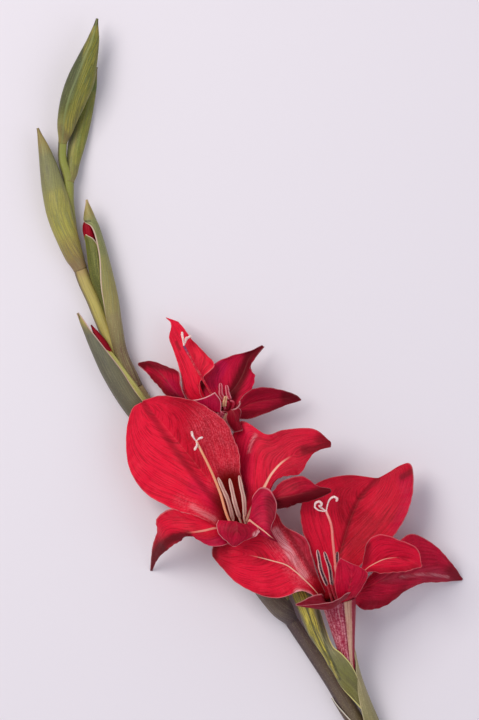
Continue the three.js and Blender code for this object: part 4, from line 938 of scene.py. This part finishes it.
def painted(grid, strokes, mark, core=0.25):
    """How strongly each point of a grid lies under the strokes of one mark, from 0 to 1.
    core: the share of a stroke's reach that is fully covered."""
    cover = np.zeros(grid.shape[:2])
    for kind, reach, strength, line in strokes:
        if kind != mark:
            continue
        path = through([at((*p, 0))[:2] for p in line], np.linspace(0, 1, 16))
        for a, b in zip(path[:-1], path[1:]):
            share = np.clip(((grid[..., :2] - a) @ (b - a)) / ((b - a) @ (b - a)), 0, 1)
            gap = np.linalg.norm(grid[..., :2] - a - share[..., None] * (b - a), axis=-1)
            cover = np.maximum(cover, strength * (1 - smooth(reach * core, reach, gap)))
    return cover


def stem_beside(point):
    """The stem's axis point and radius beside a point, or nothing where it stands well off."""
    t = np.linspace(0, 1, 400)
    axis = path_of(STEM, t)
    gap = np.linalg.norm(axis - point, axis=1)
    if gap.min() > BESIDE:
        return None, None
    return axis[gap.argmin()], column(STEM, 3, t)[gap.argmin(), 0]


def bract(name, rows, seed):
    """A blade wrapped round a path between two angles, pointed, keeled and painted."""
    look = BRACT_LOOKS[name]
    nu, nv = 120, 44
    u, v = np.linspace(0, 1, nu), np.linspace(-1, 1, nv)
    # its points crowd towards the rims
    v = np.sin(v * math.pi / 2) * 0.35 + v * 0.65
    path = path_of(rows, u)
    # where it clasps the stem it thins out and closes on the rind
    axis, rind = stem_beside(path[0])
    clasp = 0 * u[:, None]
    if rind is not None:
        clasp = 1 - smooth(0, CLASP / steps_of(path).sum(), u)[:, None]
        path = path + clasp * (axis - path[0])
    side, rise = directions(path)
    wide, deep, first, last = [column(rows, k, u) for k in (3, 4, 5, 6)]
    length = steps_of(path).sum()
    thick = BRACT_THICK - BRACT_THINS * np.abs(v[None, :]) ** 6 + 0 * u[:, None]
    if rind is not None:
        wide = wide + clasp * (rind + CLASP_GAP - wide[0])
        deep = deep + clasp * (rind + CLASP_GAP - deep[0])
        thick = thick * (1 - 0.9 * clasp)
    angle = np.radians(first + (last - first) * (v[None, :] + 1) / 2)
    swell = 1 + 0.012 * drift(path, 16, seed)[:, None]
    # a keel 0.25 mm high runs down its middle
    keel = 0.25 * np.exp(-(v / 0.07) ** 2)[None, :] * smooth(0.05, 0.3, u)[:, None]
    across, up = (wide * swell + keel) * np.sin(angle), (deep * swell + keel) * np.cos(angle)
    grid = path[:, None] + side[:, None] * across[..., None] + rise[:, None] * up[..., None]
    step = np.linalg.norm(np.diff(grid, axis=1), axis=-1)
    walk = np.concatenate([np.zeros((nu, 1)), np.cumsum(step, axis=1)], axis=1)
    from_keel = walk - walk[:, nv // 2 - 1:nv // 2]
    to_rim = np.minimum(walk, walk[:, -1:] - walk)
    zero = 0 * to_rim
    # the left side takes a greyer flush and painted shade, which fade out towards the foot
    flank_flush_and_shade = look["flank_flush_and_shade"] * smooth(-0.25, 0.85, -np.sin(angle)) * smooth(0.12, 0.35, u)[:, None]
    strokes = look.get("strokes", [])
    cores = {"yellow": 0.6, "brown": 0.1, "dark": 0.6}
    tints = [painted(grid, strokes, mark, core) for mark, core in cores.items()]
    layers = {
        "span": layer(zero, (v[None, :] + 1) / 2, u[:, None]),
        "size": layer(zero, from_keel / MAP + 0.5, to_rim / MAP),
        "veins": layer(zero, from_keel / MAP + 0.5 + seed * 0.1, u[:, None] * length / MAP),
        "marks": layer(zero, look["rim"], look["keel"], flank_flush_and_shade),
        "tints": layer(zero, *tints)}
    skin = bract_skin(name.replace("_", " "), *look["colours"], tip_from=look.get("tip_from", 0.93))
    leaf(name + "_blade", grid, thick, layers, skin, name, look["slot"])


def mouth_of(flower):
    """A funnel's base and mouth, its axis, and the directions across it."""
    base, mouth = at(flower["base"]), at(flower["mouth"])
    axis = unit(mouth - base)
    front = unit(np.array([0, 0, 1]) - axis * axis[2])
    return base, mouth, axis, front, np.cross(axis, front)


def funnel_radius(flower, share):
    """A funnel's half width at a share of its length from base to mouth."""
    stations, widths = zip(*flower.get("flare", FLARE))
    return np.interp(share, stations, widths) * flower["radius"]


def on_ring(flower, degrees, down, out):
    """A point of the funnel's wall, down mm below its mouth and out mm outside its surface."""
    base, mouth, axis, front, right = mouth_of(flower)
    r = funnel_radius(flower, 1 - down / np.linalg.norm(mouth - base)) + out
    a = math.radians(degrees)
    return mouth - axis * down + right * r * math.cos(a) + front * r * math.sin(a)


def tepal(name, flower, part, look, seed, node):
    """A tepal between its two margins, sagging to its rib, with waves and a painted skin."""
    nu, nv = (48, 36) if part.get("small") else (104, 72)
    u, v = np.linspace(0, 1, nu), np.linspace(-1, 1, nv)
    # its points crowd towards the margins
    v = np.sin(v * math.pi / 2) * 0.4 + v * 0.6
    first, last = part["ring"]

    def line(degrees, rows):
        root = [on_ring(flower, degrees, 2.5, -0.5), on_ring(flower, degrees, 0.2, -0.45)]
        return through(root + [at(p) for p in rows], u)
    left, right = line(first, part["left"]), line(last, part["right"])
    rib = line((first + last) / 2, part["rib"])
    half, bow = (right - left) / 2, (right + left) / 2 - rib
    crease = part["crease"]
    soft = (np.sqrt(v * v + 0.012) - 0.11) / 0.896
    lift = crease * soft + (1 - crease) * v * v
    grid = rib[:, None] + half[:, None] * v[None, :, None] + bow[:, None] * lift[None, :, None]
    width = np.linalg.norm(half, axis=1)[:, None]
    length = steps_of(rib).sum()
    # waves 12 mm long and frills 3.7 mm long along the margins, soft dents 15 and 6 mm across
    # all over, and a groove 0.3 mm deep down the midrib
    grown = smooth(0.12, 0.4, u)[:, None] * np.minimum(1, width / 9)
    edge = smooth(0.45, 1.0, np.abs(v))[None, :]
    phase = seed * 1.7 + np.sign(v)[None, :] * 0.9
    ruffle = edge * 0.35 * np.sin(u[:, None] * length / 12 * 2 * math.pi + phase)
    frill = edge ** 3 * 0.2 * np.sin(u[:, None] * length / 3.7 * 2 * math.pi + 2.1 * phase)
    swell = 0.8 * drift(grid, 15, seed) + 0.3 * drift(grid, 6, seed + 40)
    groove = -0.3 * np.exp(-(v[None, :] * width / 0.9) ** 2) * smooth(0.02, 0.2, 1 - u)[:, None]
    grid = grid + normals(grid) * (grown * (ruffle + frill + swell) + groove * grown)[..., None]
    to_rim = (1 - np.abs(v))[None, :] * width
    to_rim = np.minimum(to_rim, (1 - u)[:, None] * length)
    zero = 0 * to_rim
    strokes = look.get("strokes", [])

    def covered(mark):
        return np.maximum(look.get(mark, 0), painted(grid, strokes, mark))
    # painted shade: a creased tepal without a pale rib is darker along its fold
    fold = 0.25 * np.exp(-(v[None, :] / 0.12) ** 2) * (crease > 0.45) * (1 - look.get("rib", 0))
    # painted shade at each tepal's foot, deep in the throat, and under the throat strokes
    throat = np.maximum((1 - smooth(0.03, 0.24, u))[:, None] * 0.9, covered("throat"))
    start, stop = look.get("rib_span", (0.1, 0.8))
    shown = smooth(start - 0.06, start + 0.04, u) * (1 - smooth(stop - 0.12, stop + 0.04, u))
    rib_half = look.get("rib_wide", 0.8) / 2 * (1.25 - u)[:, None]
    # veins leave the midrib and fan out to the margins
    fan = width.max() * (np.abs(v[None, :]) ** 1.5 - 1.1 * u[:, None])
    layers = {
        "span": layer(zero, (v[None, :] + 1) / 2, u[:, None]),
        "size": layer(zero, v[None, :] * width / rib_half / MAP + 0.5, to_rim / MAP),
        "veins": layer(zero, fan / MAP + 0.5 + seed * 0.1, u[:, None] * length / MAP),
        "marks": layer(zero, throat, covered("salmon"), np.clip(covered("dark") + fold, 0, 0.9)),
        "tints": layer(zero, *[covered(mark) for mark in ("bright", "magenta", "rose")]),
        "lines": layer(zero, look.get("rib", 0.03) * shown[:, None], look.get("rim", 0.15), covered("pale"))}
    thick = PETAL_THICK - PETAL_THINS * np.abs(v[None, :]) ** 4 + 0 * zero
    leaf(name, grid, thick, layers, PETAL, node, "petals")


def funnel(name, flower, node):
    """A flower's tube, open at its mouth, with six soft ribs, and its bent foot if it has one."""
    base, mouth, axis, front, right = mouth_of(flower)
    long = np.linalg.norm(mouth - base)
    around = 72
    angle = np.linspace(0, 2 * math.pi, around, endpoint=False)
    # up the outside of the wall, and down its inside to half the funnel's length
    outer = np.linspace(0, 1, 34)
    inner = np.linspace(1, 0.5, 22)
    share = np.concatenate([outer, inner])
    radius = funnel_radius(flower, share)
    radius[len(outer):] -= np.interp(inner, [0.5, 0.9, 1], [1.0, 0.8, 0.25])
    ribs = 1 + 0.03 * np.cos(6 * angle + math.pi / 2)[None, :] * smooth(0.2, 0.8, share)[:, None]
    ring = radius[:, None] * ribs
    down = np.where(share > 0.98, 0.6, 0)
    middle = base + axis * (share * long - down)[:, None]
    across, up = (ring * np.cos(angle))[..., None], (ring * np.sin(angle))[..., None]
    points = middle[:, None] + right * across + front * up
    n = len(share)
    ids = np.arange(n * around).reshape(n, around)
    nxt = np.roll(ids, -1, axis=1)
    faces = np.stack([ids[:-1], nxt[:-1], nxt[1:], ids[1:]], -1).reshape(-1, 4).tolist()
    faces += [ids[0, ::-1].tolist(), ids[-1].tolist()]
    inside = (np.arange(n) >= len(outer)).astype(float)[:, None] + 0 * ring
    place = layer(0 * ring, np.cos(angle), np.sin(angle), share[:, None])
    layers = {"place": place.reshape(-1, 3), "marks": np.stack([inside] * 3, -1).reshape(-1, 3)}
    piece(name, points.reshape(-1, 3), faces, layers, FUNNEL, node, "petals")
    if "foot" in flower:
        t = np.linspace(0, 1, 40)
        radii = through(FOOT_RADII, t, flat_ends=True)
        points, faces, place = rod(path_of(flower["foot"], t), lambda t, a: radii, 24)
        layers = {"place": place, "marks": 0 * place}
        piece(name + "_foot", points, faces, layers, FUNNEL, node, "petals")


def stamen(name, label, points, i):
    """Stamen i of a flower: its thread and its pollen sac."""
    low, mid, tip = [at(p) for p in points]
    root = on_ring(FLOWERS[label], -108 + 34 * i, ROOT_DEPTH, -0.3)
    thread = through([root, low, (low + mid) / 2], np.linspace(0, 1, 40))
    points, faces, place = rod(thread, lambda t, a: 0.7 - 0.2 * t, 12)
    place[:, 2] /= place[:, 2].max()
    piece(name + "_filament", points, faces, {"place": place}, FILAMENTS[label], name, "stamens")
    # the pollen sac: two lobes side by side with a groove between, arrow-shaped at the foot;
    # flower 1's start further up, and two of them are red
    first = label == "flower_1"
    foot = low * 0.45 + mid * 0.55 if first else low * 0.8 + mid * 0.2
    spine = through([foot, mid, mid * 0.5 + tip * 0.5, tip], np.linspace(0, 1, 56))
    spine[:, 2] += 0.35

    def lobes(t, a):
        ends = np.sqrt(np.clip(1 - (2 * t - 1) ** 8, 0.02, 1)) * (1.08 - 0.28 * t)
        return 0.95 * (ends * (1 + 0.05 * np.sin(17 * t + i))) * (0.6 + 0.52 * np.abs(np.cos(a)) ** 1.5)
    points, faces, place = rod(spine, lobes, 20)
    dust = ANTHERS["flower_1_red" if first and i > 0 else label]
    piece(name + "_anther", points, faces, {"place": place}, dust, name, "stamens")


def style(name, label):
    """A flower's style, and its stigma's three fringed branches, which end like spoons."""
    base, mouth = mouth_of(FLOWERS[label])[:2]
    path = [base + (mouth - base) * 0.47] + [at(p) for p in STYLES[label]]
    points, faces, place = rod(through(path, np.linspace(0, 1, 60)), lambda t, a: 0.72 - 0.12 * t, 12)
    place[:, 2] /= place[:, 2].max()
    piece(name + "_stalk", points, faces, {"place": place}, STYLE_STALK[label], name, "style")
    parts = []
    for k, line in enumerate(STIGMAS[label]):
        line = path_of(line, np.linspace(0, 1, 40))

        def branch(t, a, k=k):
            spoon = 0.3 + 0.26 * smooth(0.15, 0.8, t) * np.sqrt(np.clip(1 - smooth(0.86, 1.0, t), 0.05, 1))
            fringe = 1 + 0.2 * np.sin(3 * a + 16 * t + k) * np.sin(29 * t + 2 * k)
            fringe = fringe + 0.08 * np.sin(9 * a + 41 * t)
            return spoon * (0.7 + 0.4 * np.abs(np.cos(a))) * fringe
        parts.append(rod(line, branch, 18))
    points, faces, place = joined(*parts)
    piece(name + "_branches", points, faces, {"place": place}, STIGMA, name, "style")


def bud_corolla(name, rows, seed):
    """The furled petals of a bud that is about to open."""
    stations, around = 60, 48
    t = np.linspace(0, 1, stations)
    centres, radii = path_of(rows, t), column(rows, 3, t)

    def furled(t, a):
        """Three petals rolled over each other, each with one raised edge."""
        fold = (a + 3.0 * t + seed) % (2 * math.pi / 3) / (2 * math.pi / 3)
        return np.maximum(radii, 0.25) * (0.93 + 0.14 * fold)
    points, faces, place = rod(centres, furled, around)
    share = np.repeat(t, around)
    turn = np.tile(np.linspace(0, 1, around), stations)
    zero = 0 * share
    layers = {
        "span": layer(zero, turn, 0.4 + 0.5 * share),
        "size": layer(zero, 0.8, 0.8),
        "veins": layer(zero, turn * 0.14, share * 0.4),
        # darker all over, partly the bud's deep red and partly painted shade inside its bract, and darkest
        # at its tip, painted shade under the bract's edge
        "marks": layer(zero, 0, 0, 0.55 + 0.35 * smooth(0.9, 1.0, share)),
        "tints": layer(zero, 0, 0, 0),
        "lines": layer(zero, 0, 0, 0)}
    piece(name + "_petals", points, faces, layers, PETAL, name, "petals")


stem()
for number, (label, rows) in enumerate(BRACTS.items()):
    bract(label, rows, number + 3)
for label, rows in BUD_TIPS.items():
    bud_corolla(label, rows, len(label))
for label, flower in FLOWERS.items():
    funnel(label + "_tube", flower, label + "_perianth")
    for number, (kind, part) in enumerate(flower["tepals"].items()):
        look = TEPAL_LOOKS[f"{label}_{kind}"]
        tepal(f"{label}_{kind}_tepal", flower, part, look, int(label[-1]) * 10 + number, label + "_perianth")
    for number, points in enumerate(STAMENS[label]):
        stamen(f"{label}_stamen_{number + 1}", label, points, number)
    style(label + "_style", label)


# ---------- floor, light and camera ----------
def floor():
    """A plane 6 m wide, 0.2 mm below the part."""
    bpy.ops.mesh.primitive_plane_add(size=6, location=(0, 0, -0.2 * MM))
    plane = bpy.context.object
    plane.name = "floor"
    material, shader, _ = finish_of("pale paper backdrop", 0.8, 1.45)
    feed(shader.inputs["Base Color"], tone("#ebe7ee"))
    plane.data.materials.append(material)


def lamp(name, where, size, power, colour):
    """A square lamp that points at the middle of the floor."""
    light = bpy.data.lights.new(name, "AREA")
    light.size, light.energy, light.color = size, power, tone(colour)[:3]
    made = bpy.data.objects.new(name, light)
    bpy.context.scene.collection.objects.link(made)
    made.location = where
    made.rotation_euler = (-Vector(where)).to_track_quat("-Z", "Y").to_euler()


def studio():
    lamp("key", (-0.9, 0.7, 1.5), 1.0, 22, "#fffaf4")
    lamp("fill", (1.2, -0.5, 1.4), 1.4, 5, "#f4f4ff")
    world = bpy.data.worlds.new("studio air")
    world.use_nodes = True
    air = world.node_tree.nodes["Background"]
    feed(air.inputs["Color"], tone("#e8e6f0"))
    feed(air.inputs["Strength"], 0.52)
    bpy.context.scene.world = world
    bpy.context.scene.view_settings.view_transform = "Standard"


def camera():
    """Straight above the middle of the picture, which fills the view at the flowers' level,
    12 mm above the floor."""
    lens = bpy.data.cameras.new("camera")
    lens.lens, lens.sensor_width = 600, 36
    lens.clip_end = 50
    made = bpy.data.objects.new("camera", lens)
    bpy.context.scene.collection.objects.link(made)
    x, y, _ = at((PICTURE[0] / 2, PICTURE[1] / 2, 0)) * MM
    made.location = (x, y, PICTURE[1] * STEP * MM * lens.lens / lens.sensor_width + 12 * MM)
    bpy.context.scene.camera = made


floor()
studio()
camera()
